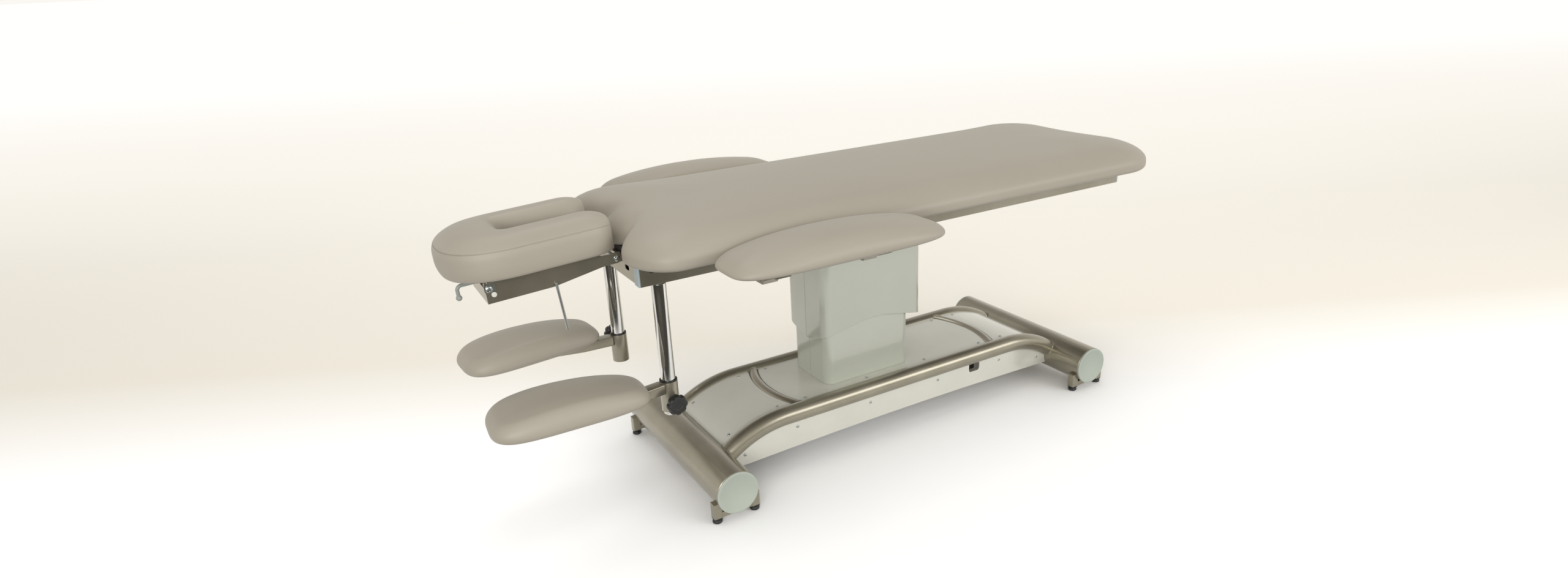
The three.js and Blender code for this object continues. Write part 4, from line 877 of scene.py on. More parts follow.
# Main cushion: firm foam under one smooth piece of polyurethane coated fabric, stretched over
# the board and stapled below. Its head end has a tongue between two scallops.
cushion_low, cushion_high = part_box("main_cushion")
main_half_width = (cushion_high.y - cushion_low.y) / 2
foot_corner = 0.140
tongue_tip = base_x - 0.770
scallop_x = base_x - 0.735
scallop_top_x = base_x - 0.776
core_inset = 0.250
scallop_y = 0.075
lobe_tip = base_x - 0.788
lobe_y = 0.195
shoulder_x = base_x - 0.700
main_draw_in = 0.003
pad_reach_share = 0.985
main_core = (shoulder_x + core_inset, cushion_high.x - main_half_width)
main_form = {"lower": 0.012, "wall": 0.010, "reach": 0.110, "rise": 0.044, "crown": 0.017, "fall": 0.0}


def coated_fabric():
    # Polyurethane coated upholstery fabric: an embossed pebble grain with cells about 1.3 mm
    # wide under a silky matt varnish, in a warm grey. Handling and stretch vary its tone softly.
    material, tree, place = new_material("taupe_polyurethane_coated_fabric")
    tone = add_node(tree, "TexNoise", {"Scale": 3.5, "Detail": 3.0}, {"Vector": place})
    bend = add_node(tree, "TexNoise", {"Scale": 300.0, "Detail": 2.0}, {"Vector": place})
    shifted = add_node(tree, "Mix", {"data_type": "VECTOR", 0: 0.004}, {
        4: place, 5: bend.outputs["Color"],
    })
    pebble = add_node(tree, "TexVoronoi", {"Scale": 760.0, "feature": "SMOOTH_F1"}, {
        "Vector": shifted.outputs[1],
    })
    colour = blended(tree, "A69F91", "B0A99B", tone)
    bump = add_node(tree, "Bump", {"Strength": 0.25, "Distance": 0.0002, "invert": True}, {
        "Height": pebble.outputs["Distance"],
    })
    settings = {"IOR": 1.5, "Specular IOR Level": 0.4, "Sheen Weight": 0.08, "Sheen Roughness": 0.4}
    finish_material(tree, settings, colour, (tone, 0.42, 0.54), links={"Normal": bump})
    return material


upholstery = coated_fabric()


def foam_pad(outline, core, low, form, top_outline=None):
    """A stuffed pad from its outline, which is pulled in ring by ring towards a core line. From
    below: a flat base, a quarter circle, a short wall and a quarter ellipse as the roll, over
    which a cubic step turns the outline into the top one. A parabola from the rim to the middle
    is added as the crown, and the thickness falls by the square of the place along the length."""
    middle_line = np.column_stack([np.clip(outline[:, 0], *core), np.zeros(len(outline))])
    depth = np.linalg.norm(outline - middle_line, axis=1).min()
    turn = np.linspace(0, np.pi / 2, 11)
    inner = np.linspace(0, 1, 15)[1:]
    roll_low = form["lower"] + form["wall"]
    inset = np.concatenate([form["reach"] * (1 - np.cos(turn)),
                            form["reach"] + (depth * pad_reach_share - form["reach"]) * inner])
    roll = np.concatenate([np.sin(turn), np.ones(len(inner))])
    rise = roll_low + form["rise"] * roll + form["crown"] * (1 - (1 - inset / depth) ** 2)
    below = np.column_stack([form["lower"] * (1 - np.sin(turn)), form["lower"] * (1 - np.cos(turn))])
    steps = np.concatenate([below, np.column_stack([inset, rise])])
    over = np.clip(steps[:, :1, None] / form["reach"], 0, 1)
    top_outline = outline if top_outline is None else top_outline
    rim = outline + (top_outline - outline) * (over ** 2 * (3 - 2 * over))
    centre = np.stack([np.clip(rim[..., 0], *core), 0 * rim[..., 0]], -1)
    length = np.linalg.norm(rim - centre, axis=-1, keepdims=True)
    plan = centre + (rim - centre) * (1 - steps[:, :1, None] / length)
    plan = np.concatenate([middle_line[None], plan, centre[-1:]])
    height = np.concatenate([[0], steps[:, 1], [roll_low + form["rise"] + form["crown"]]])[:, None]
    fall = 1 - form["fall"] * (plan[..., 0] / np.abs(outline[:, 0]).max()) ** 2
    return skin(np.concatenate([plan, (low + height * fall)[..., None]], -1), filled=False)


def ease(share):
    """Half a cosine wave from 0 to 1."""
    return (1 - np.cos(np.pi * share)) / 2


def main_outline(scallop):
    """Half of the plan from the tongue to the foot end, then its mirror: cosine waves for the
    tongue and scallop, quarter ellipses for the shoulder and the foot corner, and a long side
    that draws in slightly in its middle."""
    share = np.linspace(0, 1, 27)
    angle = share * np.pi / 2
    corner_x = cushion_high.x - foot_corner
    long_share = np.linspace(0, 1, 90)[1:-1]
    drawn = main_draw_in * (1 - (2 * long_share - 1) ** 2)
    half = np.concatenate([
        np.stack([tongue_tip + (scallop - tongue_tip) * ease(share), scallop_y * share], -1)[:-1],
        np.stack([scallop + (lobe_tip - scallop) * ease(share),
                  scallop_y + (lobe_y - scallop_y) * share], -1)[:-1],
        np.stack([shoulder_x + (lobe_tip - shoulder_x) * np.cos(angle),
                  lobe_y + (main_half_width - lobe_y) * np.sin(angle)], -1),
        np.stack([shoulder_x + (corner_x - shoulder_x) * long_share, main_half_width - drawn], -1),
        np.stack([corner_x + foot_corner * np.sin(angle),
                  main_half_width - foot_corner + foot_corner * np.cos(angle)], -1),
        np.stack([np.full(14, cushion_high.x),
                  (main_half_width - foot_corner) * np.linspace(1, 0, 15)[1:]], -1),
    ])
    return np.concatenate([half, half[1:-1][::-1] * (1, -1)])


main_pad = foam_pad(main_outline(scallop_x), main_core, cushion_low.z, main_form, main_outline(scallop_top_x))
main_piece = make_piece("main_cushion_cover", main_pad, upholstery, "table_top",
                        ["main_cushion"], crease=180)


# Posts: chrome plated steel tubes that hang from the rails at the head end, each closed by a
# domed plug, and carry the front arm rests.
def chrome_plate():
    # Bright chrome over nickel: near mirror with a slight warm grey. A fine polishing haze,
    # drawn about 4 mm wide, varies the sharpness of its reflections.
    material, tree, place = new_material("bright_chrome_plate")
    haze = add_node(tree, "TexNoise", {"Scale": 240.0, "Detail": 3.0}, {"Vector": place})
    colour = blended(tree, "C9C8C4", "DDDCD8", haze)
    finish_material(tree, {"Metallic": 1.0}, colour, (haze, 0.05, 0.12))
    return material


chrome = chrome_plate()
dress("actuator_rod", chrome)
plug_dome = 0.003
plug_seam = 0.0005
post_round = 0.0006
for side in sides:
    node = f"post_{side}"
    low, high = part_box(node)
    radius = (high.x - low.x) / 2
    profile = fillet([
        (0, low.z), (radius - plug_dome, low.z), (radius, low.z + plug_dome), (radius, low.z + 2 * plug_dome),
        (radius - plug_seam, low.z + 2.1 * plug_dome), (radius, low.z + 2.3 * plug_dome),
        (radius, high.z), (0, high.z),
    ], post_round, 3)
    centre = middle(node)
    post = skin(lathe(profile, (centre.x, centre.y, 0), "Z", 96))
    make_piece(f"{node}_tube", post, chrome, "table_top", [node])


# Front arm rests: a steel sleeve that slides and turns on the post with a black plastic bush, a
# box bar welded to it, a plate under the upholstered pad, and a lobed clamping knob.
sleeve_radius = 0.0212
sleeve_bore = 0.0193
arm_bar_width = 0.030
arm_bar_height = 0.025
arm_bar_reach = 0.265
arm_bar_taper = 0.013
arm_bar_level = 0.095
arm_bar_corner = 0.003
arm_swing = {"near": math.radians(8.4), "far": math.radians(-2.2)}
pad_distance = {"near": 0.246, "far": 0.226}
pad_plate_length = 0.150
pad_plate_width = 0.070
pad_plate_thickness = 0.004
pad_plate_proud = 0.001
pad_plate_corner = 0.008
bush_rim = 0.0033
bush_depth = 0.002
knob_lobes = 8
knob_lobe_depth = 0.0028
knob_depth = 0.020
knob_back_chamfer = 0.004
knob_front_chamfer = 0.005
knob_dish_slope = 0.0008
knob_dish = 0.0022
knob_round = 0.0025
screw_shank = 0.004
boss_radius = 0.0085
boss_foot = 0.0095
pad_power = 3.6
pad_taper = 0.14
pad_turn = math.radians(4.2)
pad_length = 0.345
pad_width = 0.170
pad_form = {"lower": 0.019, "wall": 0.002, "reach": 0.024, "rise": 0.029, "crown": 0.013, "fall": 0.37}


def oval(length, width, power, taper, count=220):
    """A superellipse: cosine and sine raised to two over the power, so that a higher power
    gives flatter sides. With a taper it gets wider towards the head end."""
    angle = 2 * np.pi * (np.arange(count) + 0.5) / count
    x = np.sign(np.cos(angle)) * np.abs(np.cos(angle)) ** (2 / power)
    y = np.sign(np.sin(angle)) * np.abs(np.sin(angle)) ** (2 / power)
    return np.stack([length / 2 * x, width / 2 * y * (1 - taper * x)], -1)


def placed(shape, centre, turn=0.0):
    """A skin turned about the vertical and moved to a centre in plan."""
    cos, sin = math.cos(turn), math.sin(turn)
    points = shape[0] @ np.array([[cos, sin, 0], [-sin, cos, 0], [0, 0, 1]])
    return points + (centre[0], centre[1], 0), shape[1]


for side, turn in sides.items():
    arm_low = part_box(f"front_arm_{side}")[0]
    post_x, post_y = middle(f"post_{side}").xy
    bush_low, bush_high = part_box(f"arm_bush_{side}")
    sleeve_top = bush_high.z - bush_rim
    sleeve = fillet([
        (sleeve_bore, arm_low.z), (sleeve_radius, arm_low.z), (sleeve_radius, sleeve_top),
        (sleeve_bore, sleeve_top), (sleeve_bore, arm_low.z),
    ], 0.0005, 2)
    tube = skin(lathe(sleeve[1:], (post_x, post_y, 0), "Z", 96), loop=True)
    plate_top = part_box(f"front_arm_pad_{side}")[0].z - fit_gap
    bar_top = plate_top - pad_plate_proud
    section = rounded_rectangle(arm_bar_width, arm_bar_height, arm_bar_corner)
    stations = [(-arm_bar_reach, 1.0), (-arm_bar_level, 0.0), (-sleeve_bore, 0.0)]
    rings = []
    for x, tapered in stations:
        height = arm_bar_height - arm_bar_taper * tapered
        rise = (section[:, 1] / arm_bar_height - 0.5) * height + bar_top
        rings.append(np.column_stack([np.full(len(section), x), section[:, 0], rise]))
    bar = skin(np.array(rings))
    plate_plan = rounded_rectangle(pad_plate_length, pad_plate_width, pad_plate_corner)
    plate = prism(plate_plan, -pad_plate_thickness, 0, (-pad_distance[side], 0, plate_top))
    bar, plate = (placed(part, (post_x, post_y), arm_swing[side]) for part in (bar, plate))
    make_piece(f"front_arm_{side}_bar", together(tube, bar, plate), tube_paint, f"front_arm_{side}",
               [f"front_arm_{side}"])

    radius = (bush_high.x - bush_low.x) / 2
    inner = post_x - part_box(f"post_{side}")[0].x + fit_gap
    neck = sleeve_bore - fit_gap
    ring = fillet([
        (inner, sleeve_top - bush_depth), (neck, sleeve_top - bush_depth), (neck, sleeve_top + fit_gap),
        (radius, sleeve_top + fit_gap), (radius, bush_high.z), (inner, bush_high.z),
        (inner, sleeve_top - bush_depth),
    ], 0.0007, 3)
    bush = skin(lathe(ring[1:], (post_x, post_y, 0), "Z", 72), loop=True)
    make_piece(f"arm_bush_{side}_ring", bush, black_nylon, f"arm_slider_{side}",
               [f"arm_bush_{side}"])

    knob_low, knob_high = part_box(f"arm_knob_{side}")
    knob_radius = (knob_high.z - knob_low.z) / 2
    knob_z = (knob_high.z + knob_low.z) / 2
    knob_end = max(abs(knob_low.y), abs(knob_high.y))
    knob_start = knob_end - knob_depth
    profile = fillet([
        (0, knob_start), (knob_radius * 0.72, knob_start), (knob_radius, knob_start + knob_back_chamfer),
        (knob_radius, knob_end - knob_front_chamfer), (knob_radius * 0.82, knob_end),
        (knob_radius * 0.4, knob_end - knob_dish_slope), (knob_radius * 0.36, knob_end - knob_dish),
        (0, knob_end - knob_dish),
    ], knob_round, 5)
    rings = lathe(profile, (0, 0, 0), "Y", 128)
    angle = np.arctan2(rings[..., 2], rings[..., 0])
    reach = np.hypot(rings[..., 0], rings[..., 2])
    dent = knob_lobe_depth * ((1 - np.cos(knob_lobes * angle)) / 2) ** 2 * (reach / knob_radius) ** 3
    rings[..., ::2] *= (1 - dent / np.maximum(reach, 1e-9))[..., None]
    bore_y = abs(post_y) + sleeve_bore
    face_y = abs(post_y) + sleeve_radius + fit_gap
    boss_end = knob_start + knob_back_chamfer
    boss = lathe([(0, bore_y), (screw_shank, bore_y), (screw_shank, face_y), (boss_radius, face_y),
                  (boss_foot, boss_end), (0, boss_end)], (0, 0, 0), "Y", 40)
    knob = together(skin(rings), skin(boss))
    knob_shape = knob[0] * (1, turn, 1) + (post_x, 0, knob_z), knob[1]
    make_piece(f"arm_knob_{side}_grip", knob_shape, black_nylon, f"arm_knob_{side}",
               [f"arm_knob_{side}"])

    reach = (pad_length - pad_width) / 2
    pad_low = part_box(f"front_arm_pad_{side}")[0].z
    pad = foam_pad(oval(pad_length, pad_width, pad_power, pad_taper), (-reach, reach), pad_low, pad_form)
    swing, distance = arm_swing[side], pad_distance[side]
    centre = (post_x - distance * math.cos(swing), post_y - distance * math.sin(swing))
    pad_piece = make_piece(f"front_arm_pad_{side}_cover", placed(pad, centre, turn * pad_turn), upholstery,
                           f"front_arm_pad_{side}", [f"front_arm_pad_{side}"], crease=180)


# Side arm rests: long oval pads beside the main cushion, of the same foam and fabric, on steel
# brackets that slide into sockets on the rails.
side_length = 0.536
side_width = 0.185
side_power = 4.0
side_form = {"lower": 0.012, "wall": 0.002, "reach": 0.032, "rise": 0.027, "crown": 0.018, "fall": 0.48}
for side, turn in sides.items():
    low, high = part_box(f"side_arm_pad_{side}")
    reach = (side_length - side_width) / 2
    plan = oval(side_length, side_width, side_power, 0, 280)
    pad = foam_pad(plan, (-reach, reach), low.z, side_form)
    pad_piece = make_piece(
        f"side_arm_pad_{side}_cover",
        placed(pad, ((low.x + high.x) / 2, (low.y + high.y) / 2)), upholstery,
        f"side_arm_{side}", [f"side_arm_pad_{side}"], crease=180,
    )


# Headrest: a horseshoe cushion on two steel plates that tilt on a hinge bolt under the head
# end. All its pieces are drawn level, measured from the hinge, and then tilted together.
headrest_tilt = math.radians(3.4)
hinge = middle("headrest_hinge_shaft")
head_base_z = 0.0355
head_height = 0.089
head_outer_x = -0.368
head_inner_x = -0.008
head_half = 0.140
head_nose = 0.165
nose_power = 2.5
nose_rise_share = 0.09
head_arm_end = 0.060
hole_end_x = -0.221
hole_half = 0.040
hole_corner = 0.018
hole_power = 6
seam_share = 0.7
groove_half_share = 0.004
groove_width_shares = (0.949, 0.952)
even_share = 0.4
end_height_share = 0.35
end_height_power = 0.7
dress("headrest_frame", tube_paint)


def tilted(points):
    """Points measured from the hinge, turned about it by the headrest's rest angle."""
    cos, sin = math.cos(headrest_tilt), math.sin(headrest_tilt)
    turned = points @ np.array([[cos, 0, sin], [0, 1, 0], [-sin, 0, cos]])
    return turned + np.array(hinge)


def smooth_curve(points, steps):
    """A Catmull Rom curve through control points: between two of them, the tangents are half
    the difference of the neighbours on either side."""
    points = np.array(points, float)
    padded = np.concatenate([2 * points[:1] - points[1:2], points, 2 * points[-1:] - points[-2:-1]])
    share = np.linspace(0, 1, steps, endpoint=False)[:, None]
    rows = []
    for a, b, c, d in zip(padded[:-3], padded[1:-2], padded[2:-1], padded[3:]):
        rows.append(0.5 * (2 * b + (c - a) * share + (2 * a - 5 * b + 4 * c - d) * share ** 2
                           + (3 * b - a - 3 * c + d) * share ** 3))
    return np.concatenate(rows + [points[-1:]])


head_section_shares = [
    (0.06, 0.0), (0.0, 0.07), (0.0, 0.28), (0.005, 0.5), (0.035, 0.71), (0.10, 0.865), (0.20, 0.965),
    (0.34, 1.0), (0.52, 0.99), (0.70, 0.945), (0.85, 0.85), (0.93, 0.765), (0.955, 0.715),
]
head_wall_shares = [
    (0.965, 0.695), (0.992, 0.58), (1.0, 0.42), (0.997, 0.24), (0.975, 0.09), (0.945, 0.025), (0.90, 0.0),
]


def headrest_rows():
    """Section after section along the horseshoe, from one arm's end round the nose to the other.
    Each runs from the face hole to the outer side, over the crest and down the stitched wall."""
    arm_x = head_inner_x - head_arm_end
    nose_x = head_outer_x + head_nose
    ends_share = np.sin(np.linspace(np.pi / 2, 0, 18))[:-1]
    spread = np.sqrt(1 - ends_share ** 2)
    middle_y = (head_half + hole_half) / 2
    reach_y = (head_half - hole_half) / 2
    end_x = arm_x + head_arm_end * ends_share
    inner = [np.stack([end_x, middle_y - reach_y * spread], -1)]
    outer = [np.stack([end_x, middle_y + reach_y * spread], -1)]
    kept = [end_height_share + (1 - end_height_share) * spread ** end_height_power]
    arm_share = np.linspace(0, 1, 24)[:-1]
    hole_x = arm_x + (hole_end_x + hole_corner - arm_x) * arm_share
    inner.append(np.stack([hole_x, np.full(23, hole_half)], -1))
    outer.append(np.stack([arm_x + (nose_x - arm_x) * arm_share, np.full(23, head_half)], -1))
    kept.append(np.ones(23))
    angle = np.pi / 2 * (1 + np.linspace(0, 1, 40))

    def full(value, power):
        """A superellipse's share: a cosine or sine raised to two over the power."""
        return np.sign(value) * np.abs(value) ** (2 / power)

    inner.append(np.stack([hole_end_x + hole_corner + hole_corner * full(np.cos(angle), hole_power),
                           hole_half * full(np.sin(angle), hole_power)], -1))
    outer.append(np.stack([nose_x + head_nose * full(np.cos(angle), nose_power),
                           head_half * full(np.sin(angle), nose_power)], -1))
    kept.append(1 + nose_rise_share * np.cos(angle) ** 2)
    inner, outer, kept = (np.concatenate(part) for part in (inner, outer, kept))
    inner = np.concatenate([inner, (inner * (1, -1))[-2::-1]])
    outer = np.concatenate([outer, (outer * (1, -1))[-2::-1]])
    return inner, outer, np.concatenate([kept, kept[-2::-1]])


inner_line, outer_line, height_kept = headrest_rows()
top_profile = smooth_curve(head_section_shares, 4)
wall_profile = smooth_curve(head_wall_shares, 4)
groove_heights = (seam_share + groove_half_share, seam_share - groove_half_share)
groove = np.column_stack([groove_width_shares, groove_heights])
section = np.concatenate([top_profile, groove, wall_profile])
raised = even_share + (section[:, 1] - even_share) * height_kept[:, None]
lift = np.where(section[:, 1] < even_share, section[:, 1], raised)
width_share = section[:, 0][None, :, None]
plan = inner_line[:, None] + (outer_line - inner_line)[:, None] * width_share
head_rings = np.concatenate([plan, (head_base_z + head_height * lift)[..., None]], -1)
head_points, head_faces = skin(head_rings)
head_piece = make_piece("headrest_cushion_cover", (tilted(head_points), head_faces), upholstery,
                        "headrest", ["headrest_cushion"], crease=60)


# Seam thread: a row of short polyester stitches in the seam between the headrest's top panel
# and its side band.
stitch_length = 0.0034
stitch_pitch = 0.0048
stitch_radius = 0.0005


def thread():
    # Bonded polyester sewing thread: a slightly darker grey than the fabric. The twist of its
    # strands, 0.4 mm in life, is drawn as diagonal lines 0.9 mm apart so that it shows at all.
    material, tree, place = new_material("bonded_polyester_thread")
    twist = add_node(tree, "TexWave", {"Scale": 400.0, "bands_direction": "DIAGONAL"}, {"Vector": place})
    colour = blended(tree, "8F897D", "A8A196", twist.outputs["Fac"])
    finish_material(tree, {"Roughness": 0.6}, colour, relief=(twist.outputs["Fac"], 0.4, 0.0001))
    return material


seam_index = len(top_profile)
seam_line = tilted(head_rings[:, seam_index - 1])
run = np.concatenate([[0], np.cumsum(np.linalg.norm(np.diff(seam_line, axis=0), axis=1))])
starts = np.arange(stitch_pitch, run[-1] - stitch_pitch, stitch_pitch)
first = np.stack([np.interp(starts, run, seam_line[:, axis]) for axis in range(3)], -1)
last = np.stack([np.interp(starts + stitch_length, run, seam_line[:, axis]) for axis in range(3)], -1)
share = np.linspace(0, 1, 5)
swell = np.array([0.25, 0.9, 1, 0.9, 0.25]) * stitch_radius
direction = (last - first) / np.linalg.norm(last - first, axis=1, keepdims=True)
across_stitch = np.cross(direction, (0, 0, 1.0))
across_stitch /= np.linalg.norm(across_stitch, axis=1, keepdims=True)
over_stitch = np.cross(across_stitch, direction)
turns = np.linspace(0, 2 * np.pi, 6, endpoint=False)
stitches = []
for a, b, u, v in zip(first, last, across_stitch, over_stitch):
    line = a + (b - a) * share[:, None]
    spokes = np.cos(turns)[:, None] * u + np.sin(turns)[:, None] * v
    stitches.append(skin(line[:, None] + swell[:, None, None] * spokes[None]))
make_piece("headrest_stitches", together(*stitches), thread(), "headrest")


# Headrest hardware: the hinge bolt through the ears, a white nylon spacer pin, the screwed end
# brackets, the bent release lever with its ball, and a thin hanging rod.
bolt_head = 0.0062
bolt_chamfer = 0.002
bolt_round = 0.0008
bolt_shank = 0.004
washer_radius = bolt_head * 1.25
washer_thickness = 0.0010
washer_step = 0.0012
plate_outer = 0.073
bracket_length = 0.024
bracket_height = 0.019
bracket_thickness = 0.002
bracket_corner = 0.003
bracket_round = 0.0005
bracket_place = (-0.284, 0, 0.008)
end_screw_x, end_screw_z = -0.286, 0.006
end_screw_radius, end_screw_height = 0.0078, 0.0036
pin_x, pin_z = -0.278, -0.008
pin_radius, pin_neck, pin_round = 0.0058, 0.0035, 0.001
lever_x, lever_z, lever_y = -0.268, 0.022, 0.050
lever_radius = 0.004
lever_reach = 0.077
lever_bend = 0.010
lever_drop = 0.026
lever_pin_end = 0.034
ball_radius = 0.0065
rod_x, rod_z, rod_y = -0.146, -0.020, 0.0775
rod_radius = 0.0032
rod_round = 0.0008
rod_pin_end = 0.067
rod_length = 0.112
rod_lean = math.radians(2.4)

shaft_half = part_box("headrest_hinge_shaft")[1].y
half_bolt = np.array([
    (bolt_shank, plate_outer + fit_gap), (washer_radius, plate_outer + fit_gap),
    (washer_radius, plate_outer + washer_thickness), (bolt_head, plate_outer + washer_step),
    (bolt_head, shaft_half - bolt_chamfer), (bolt_head * 0.7, shaft_half), (0, shaft_half),
])
bolt_profile = fillet(np.concatenate([half_bolt[::-1] * (1, -1), half_bolt]), bolt_round, 3)
bolt = skin(lathe(bolt_profile, hinge, "Y", 48))
make_piece("hinge_bolt", bolt, zinc, "table_top", ["headrest_hinge_shaft"])

nylon = moulded_plastic("white_nylon", "DAD9D0", "ECEBE4", 0.45, 0.0009, 0.08)
pin_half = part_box("headrest_spacer_pin")[1].y
half_pin = np.array([
    (pin_neck, plate_outer + fit_gap), (pin_radius, plate_outer + fit_gap),
    (pin_radius, pin_half), (0, pin_half),
])
pin_profile = fillet(np.concatenate([half_pin[::-1] * (1, -1), half_pin]), pin_round, 3)
pin_points, pin_faces = skin(lathe(pin_profile, (pin_x, 0, pin_z), "Y", 40))
make_piece("spacer_pin", (tilted(pin_points), pin_faces), nylon, "headrest",
           ["headrest_spacer_pin"])

brackets = []
heads = []
for turn in sides.values():
    plan = rounded_rectangle(bracket_length, bracket_height, bracket_corner)
    bracket_face = turn * (plate_outer + bracket_thickness)
    span = sorted((turn * plate_outer, bracket_face))
    brackets.append(prism(plan, *span, bracket_place, "Y", bracket_round))
    heads.append(screw_head((end_screw_x, bracket_face, end_screw_z), (0, turn, 0),
                            end_screw_radius, end_screw_height))
for name, parts in (("headrest_end_brackets", brackets), ("headrest_end_screws", heads)):
    points, faces = together(*parts)
    make_piece(name, (tilted(points), faces), zinc, "headrest", crease=30)

lever_coat = moulded_plastic("grey_dipped_coating", "8F968F", "A6ADA5", 0.4, 0.0015, 0.1)
end_x = lever_x - lever_reach
angle = np.linspace(0, np.pi / 2, 12)
path = np.concatenate([
    [(lever_x, 0, lever_z)],
    np.stack([end_x + lever_bend * (1 - np.sin(angle)), 0 * angle,
              lever_z - lever_bend * (1 - np.cos(angle))], -1),
    [(end_x, 0, lever_z - lever_drop)],
])
tangent = np.concatenate([
    [(-1, 0, 0)], np.stack([-np.cos(angle), 0 * angle, -np.sin(angle)], -1), [(0, 0, -1)],
])
arm = skin(swept(path - (0, lever_y, 0), tangent, (0, 1, 0), lever_radius, 24))
pin_start = -plate_outer + fit_gap
cross_pin = skin(lathe([(0, pin_start), (lever_radius, pin_start), (lever_radius, -lever_pin_end),
                        (0, -lever_pin_end)], (lever_x, 0, lever_z), "Y", 24))
polar = np.linspace(0, np.pi, 17)
ball_profile = np.stack([ball_radius * np.sin(polar), -ball_radius * np.cos(polar)], -1)
ball = skin(lathe(ball_profile, (end_x, -lever_y, lever_z - lever_drop), "Z", 32), filled=False)
points, faces = together(arm, cross_pin, ball)
make_piece("release_lever_arm", (tilted(points), faces), lever_coat, "release_lever",
           ["headrest_lever"])

cos, sin = math.cos(rod_lean), math.sin(rod_lean)
rod_profile = fillet([
    (0, -rod_length), (rod_radius, -rod_length), (rod_radius, rod_radius), (0, rod_radius),
], rod_round, 3)
rod = skin(lathe(rod_profile, (0, -rod_y, 0), "Z", 32))
rod_pin = skin(lathe([(0, -rod_y), (rod_radius, -rod_y), (rod_radius, -rod_pin_end), (0, -rod_pin_end)],
                     (0, 0, 0), "Y", 32))
points, faces = together(rod, rod_pin)
points = points @ np.array([[cos, 0, sin], [0, 1, 0], [-sin, 0, cos]]) + (rod_x, 0, rod_z)
make_piece("hanging_rod_bar", (tilted(points), faces), zinc, "hanging_rod",
           ["headrest_rod"])


# Floor: a seamless studio paper that runs from white in front through a pale warm grey to white
# far behind. Between it and the camera lies the dark floor of the studio, which only the
# chrome and the lacquer show.
floor_half = 400.0
paper_edge = 1.45
floor_bands = [
    (0.0, "3A3832"), (1.05, "3A3832"), (paper_edge, "FFFFFF"), (2.25, "FFFFFF"), (2.9, "E9E4DA"),
    (4.4, "E9E5DD"), (6.5, "F4F1EB"), (12.0, "FFFFFF"),
]
paper_turn = math.radians(4)
paper_direction = (math.sin(camera_yaw - paper_turn), math.cos(camera_yaw - paper_turn), 0)
paper_albedo = 0.5
glow_near, glow_far = 0.28, 0.46
glow_start, glow_end = 2.3, 5.5
painted_shade_reach, painted_shade_power = 0.36, 2.2


def seen_directly(tree, ray):
    """The greatest of three shares: 1 for a ray from the camera, off a mirror or through glass,
    and 0 for light that has bounced off a matt surface."""
    share = ray.outputs["Is Camera Ray"]
    for name in ("Is Glossy Ray", "Is Transmission Ray"):
        share = add_node(tree, "Math", {"operation": "MAXIMUM"}, {0: share, 1: ray.outputs[name]})
    return share


def eased(tree, value, edges, tones=(0.0, 1.0)):
    """A cubic step of a value from the first tone to the second between two edges."""
    return add_node(tree, "MapRange", {
        "From Min": edges[0], "From Max": edges[1], "To Min": tones[0], "To Max": tones[1],
        "interpolation_type": "SMOOTHSTEP",
    }, {"Value": value})


def paper_floor():
    # Matt studio paper and dark floor paint: the tone changes along one direction, from the
    # photograph's place away. Seen straight or in a mirror it has its full colour and glows a
    # little, more so behind the table, so that it is as pale as written outside the shadow.
    # Bounced light meets it duller. Seen straight, the paper goes on over the dark floor. An ambient
    # occlusion mask takes the glow away below the base and round the feet: painted shade that deepens the lit
    # shadow there.
    material, tree, place = new_material("white_studio_paper")
    away = add_node(tree, "VectorMath", {"operation": "DOT_PRODUCT", 1: paper_direction}, {0: place})
    start = sum(a * b for a, b in zip(camera_place, paper_direction))
    ray = add_node(tree, "LightPath")
    on_paper = add_node(tree, "Math", {"operation": "MAXIMUM", 1: start + paper_edge}, {
        0: away.outputs["Value"],
    })
    shown = add_node(tree, "Mix", links={
        0: ray.outputs["Is Camera Ray"], 2: away.outputs["Value"], 3: on_paper,
    })
    share = add_node(tree, "MapRange", {
        "From Min": start, "From Max": start + floor_bands[-1][0],
    }, {"Value": shown})
    ramp = add_node(tree, "ValToRGB", links={0: share})
    stops = ramp.color_ramp.elements
    for distance, code in floor_bands[1:-1]:
        stops.new(distance / floor_bands[-1][0])
    for stop, (distance, code) in zip(stops, floor_bands):
        stop.color = linear(code)
    seen = seen_directly(tree, ray)
    lit = eased(tree, away.outputs["Value"], (start + glow_start, start + glow_end), (glow_near, glow_far))
    # Painted shade: the glow is cut by ambient occlusion, so that the floor darkens under the table and round
    # the feet.
    corner = add_node(tree, "AmbientOcclusion", {"Distance": painted_shade_reach})
    free = add_node(tree, "Math", {"operation": "POWER", 1: painted_shade_power}, {0: corner.outputs["AO"]})
    glow_outside_painted_shade = add_node(tree, "Math", {"operation": "MULTIPLY"}, {0: lit, 1: free})
    glow = add_node(tree, "Math", {"operation": "MULTIPLY"}, {0: seen, 1: glow_outside_painted_shade})
    kept = add_node(tree, "Mix", {2: paper_albedo, 3: 1.0}, {0: seen})
    matt = add_node(tree, "VectorMath", {"operation": "SCALE"}, {
        0: ramp, "Scale": kept,
    })
    finish_material(tree, {"Roughness": 0.9, "Specular IOR Level": 0.1}, matt,
                    links={"Emission Color": ramp, "Emission Strength": glow})
    return material


floor_mesh = bpy.data.meshes.new("studio_floor")
floor_mesh.from_pydata([(x * floor_half, y * floor_half, 0) for x, y in ((-1, -1), (1, -1), (1, 1), (-1, 1))],
                       [], [(0, 1, 2, 3)])
floor_mesh.materials.append(paper_floor())
studio_floor = bpy.data.objects.new("studio_floor", floor_mesh)
bpy.context.scene.collection.objects.link(studio_floor)

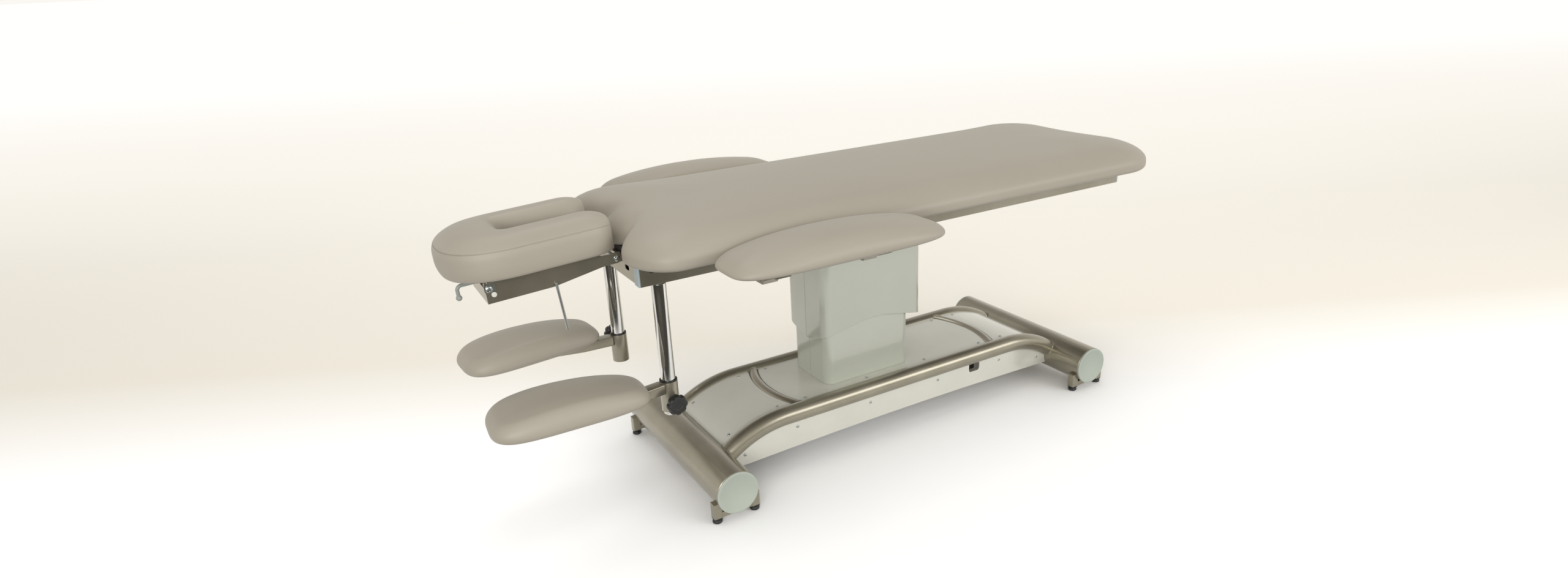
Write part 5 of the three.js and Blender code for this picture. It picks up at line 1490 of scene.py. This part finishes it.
# Room: the studio's walls, light and darker by turns as metal mirrors them, under a dimmer
# ceiling. Their foot is the white backdrop, seen straight and in mirrors, which puts no more
# light on the table.
wall_tones = (0.5, 1.0)
wall_edges = (-0.35, 0.45)
wall_pairs = 3.0
wall_start = 0.6
ceiling_edges = (0.45, 0.8)
ceiling_tone = 0.48
backdrop_edges = (0.42, 0.3)


world = bpy.data.worlds.new("studio")
bpy.context.scene.world = world
world.use_nodes = True
tree = world.node_tree
tree.nodes.clear()
heading = add_node(tree, "SeparateXYZ", links={0: add_node(tree, "TexCoord").outputs["Generated"]})
height = heading.outputs["Z"]
bearing = add_node(tree, "Math", {"operation": "ARCTAN2"}, {
    0: heading.outputs["Y"], 1: heading.outputs["X"],
})
waves = add_node(tree, "Math", {"operation": "MULTIPLY_ADD", 1: wall_pairs, 2: wall_start}, {0: bearing})
panels = eased(tree, add_node(tree, "Math", {"operation": "SINE"}, {0: waves}), wall_edges, wall_tones)
room = add_node(tree, "Mix", {3: ceiling_tone}, {0: eased(tree, height, ceiling_edges), 2: panels})
backdrop = add_node(tree, "Math", {"operation": "MULTIPLY"}, {
    0: seen_directly(tree, add_node(tree, "LightPath")), 1: eased(tree, height, backdrop_edges),
})
strength = add_node(tree, "Mix", {3: 1.0}, {0: backdrop, 2: room})
sky = add_node(tree, "Background", {"Color": linear("FBF8F2")}, {"Strength": strength})
add_node(tree, "OutputWorld", links={"Surface": sky})


# Lamps: wide soft boxes at the front right, at the head end, and behind and above the table.
# Each is given by its place, the place that it is turned to, its size and its power in watts.
lamps = {
    "front_light": ((2.4, -3.6, 1.9), (0.1, 0.0, 0.4), (3.0, 1.6), 65),
    "side_light": ((-2.7, -3.0, 1.3), (-0.3, 0.0, 0.5), (2.2, 1.0), 71),
    "top_light": ((-0.3, 1.5, 3.1), (0.1, 0.0, 0.5), (1.8, 0.6), 16),
}
for name, (place, target, size, power) in lamps.items():
    data = bpy.data.lights.new(name, "AREA")
    data.shape = "RECTANGLE"
    data.size, data.size_y = size
    data.energy = power
    lamp = bpy.data.objects.new(name, data)
    lamp.location = place
    lamp.rotation_euler = (Vector(target) - Vector(place)).to_track_quat("-Z", "Y").to_euler()
    bpy.context.scene.collection.objects.link(lamp)
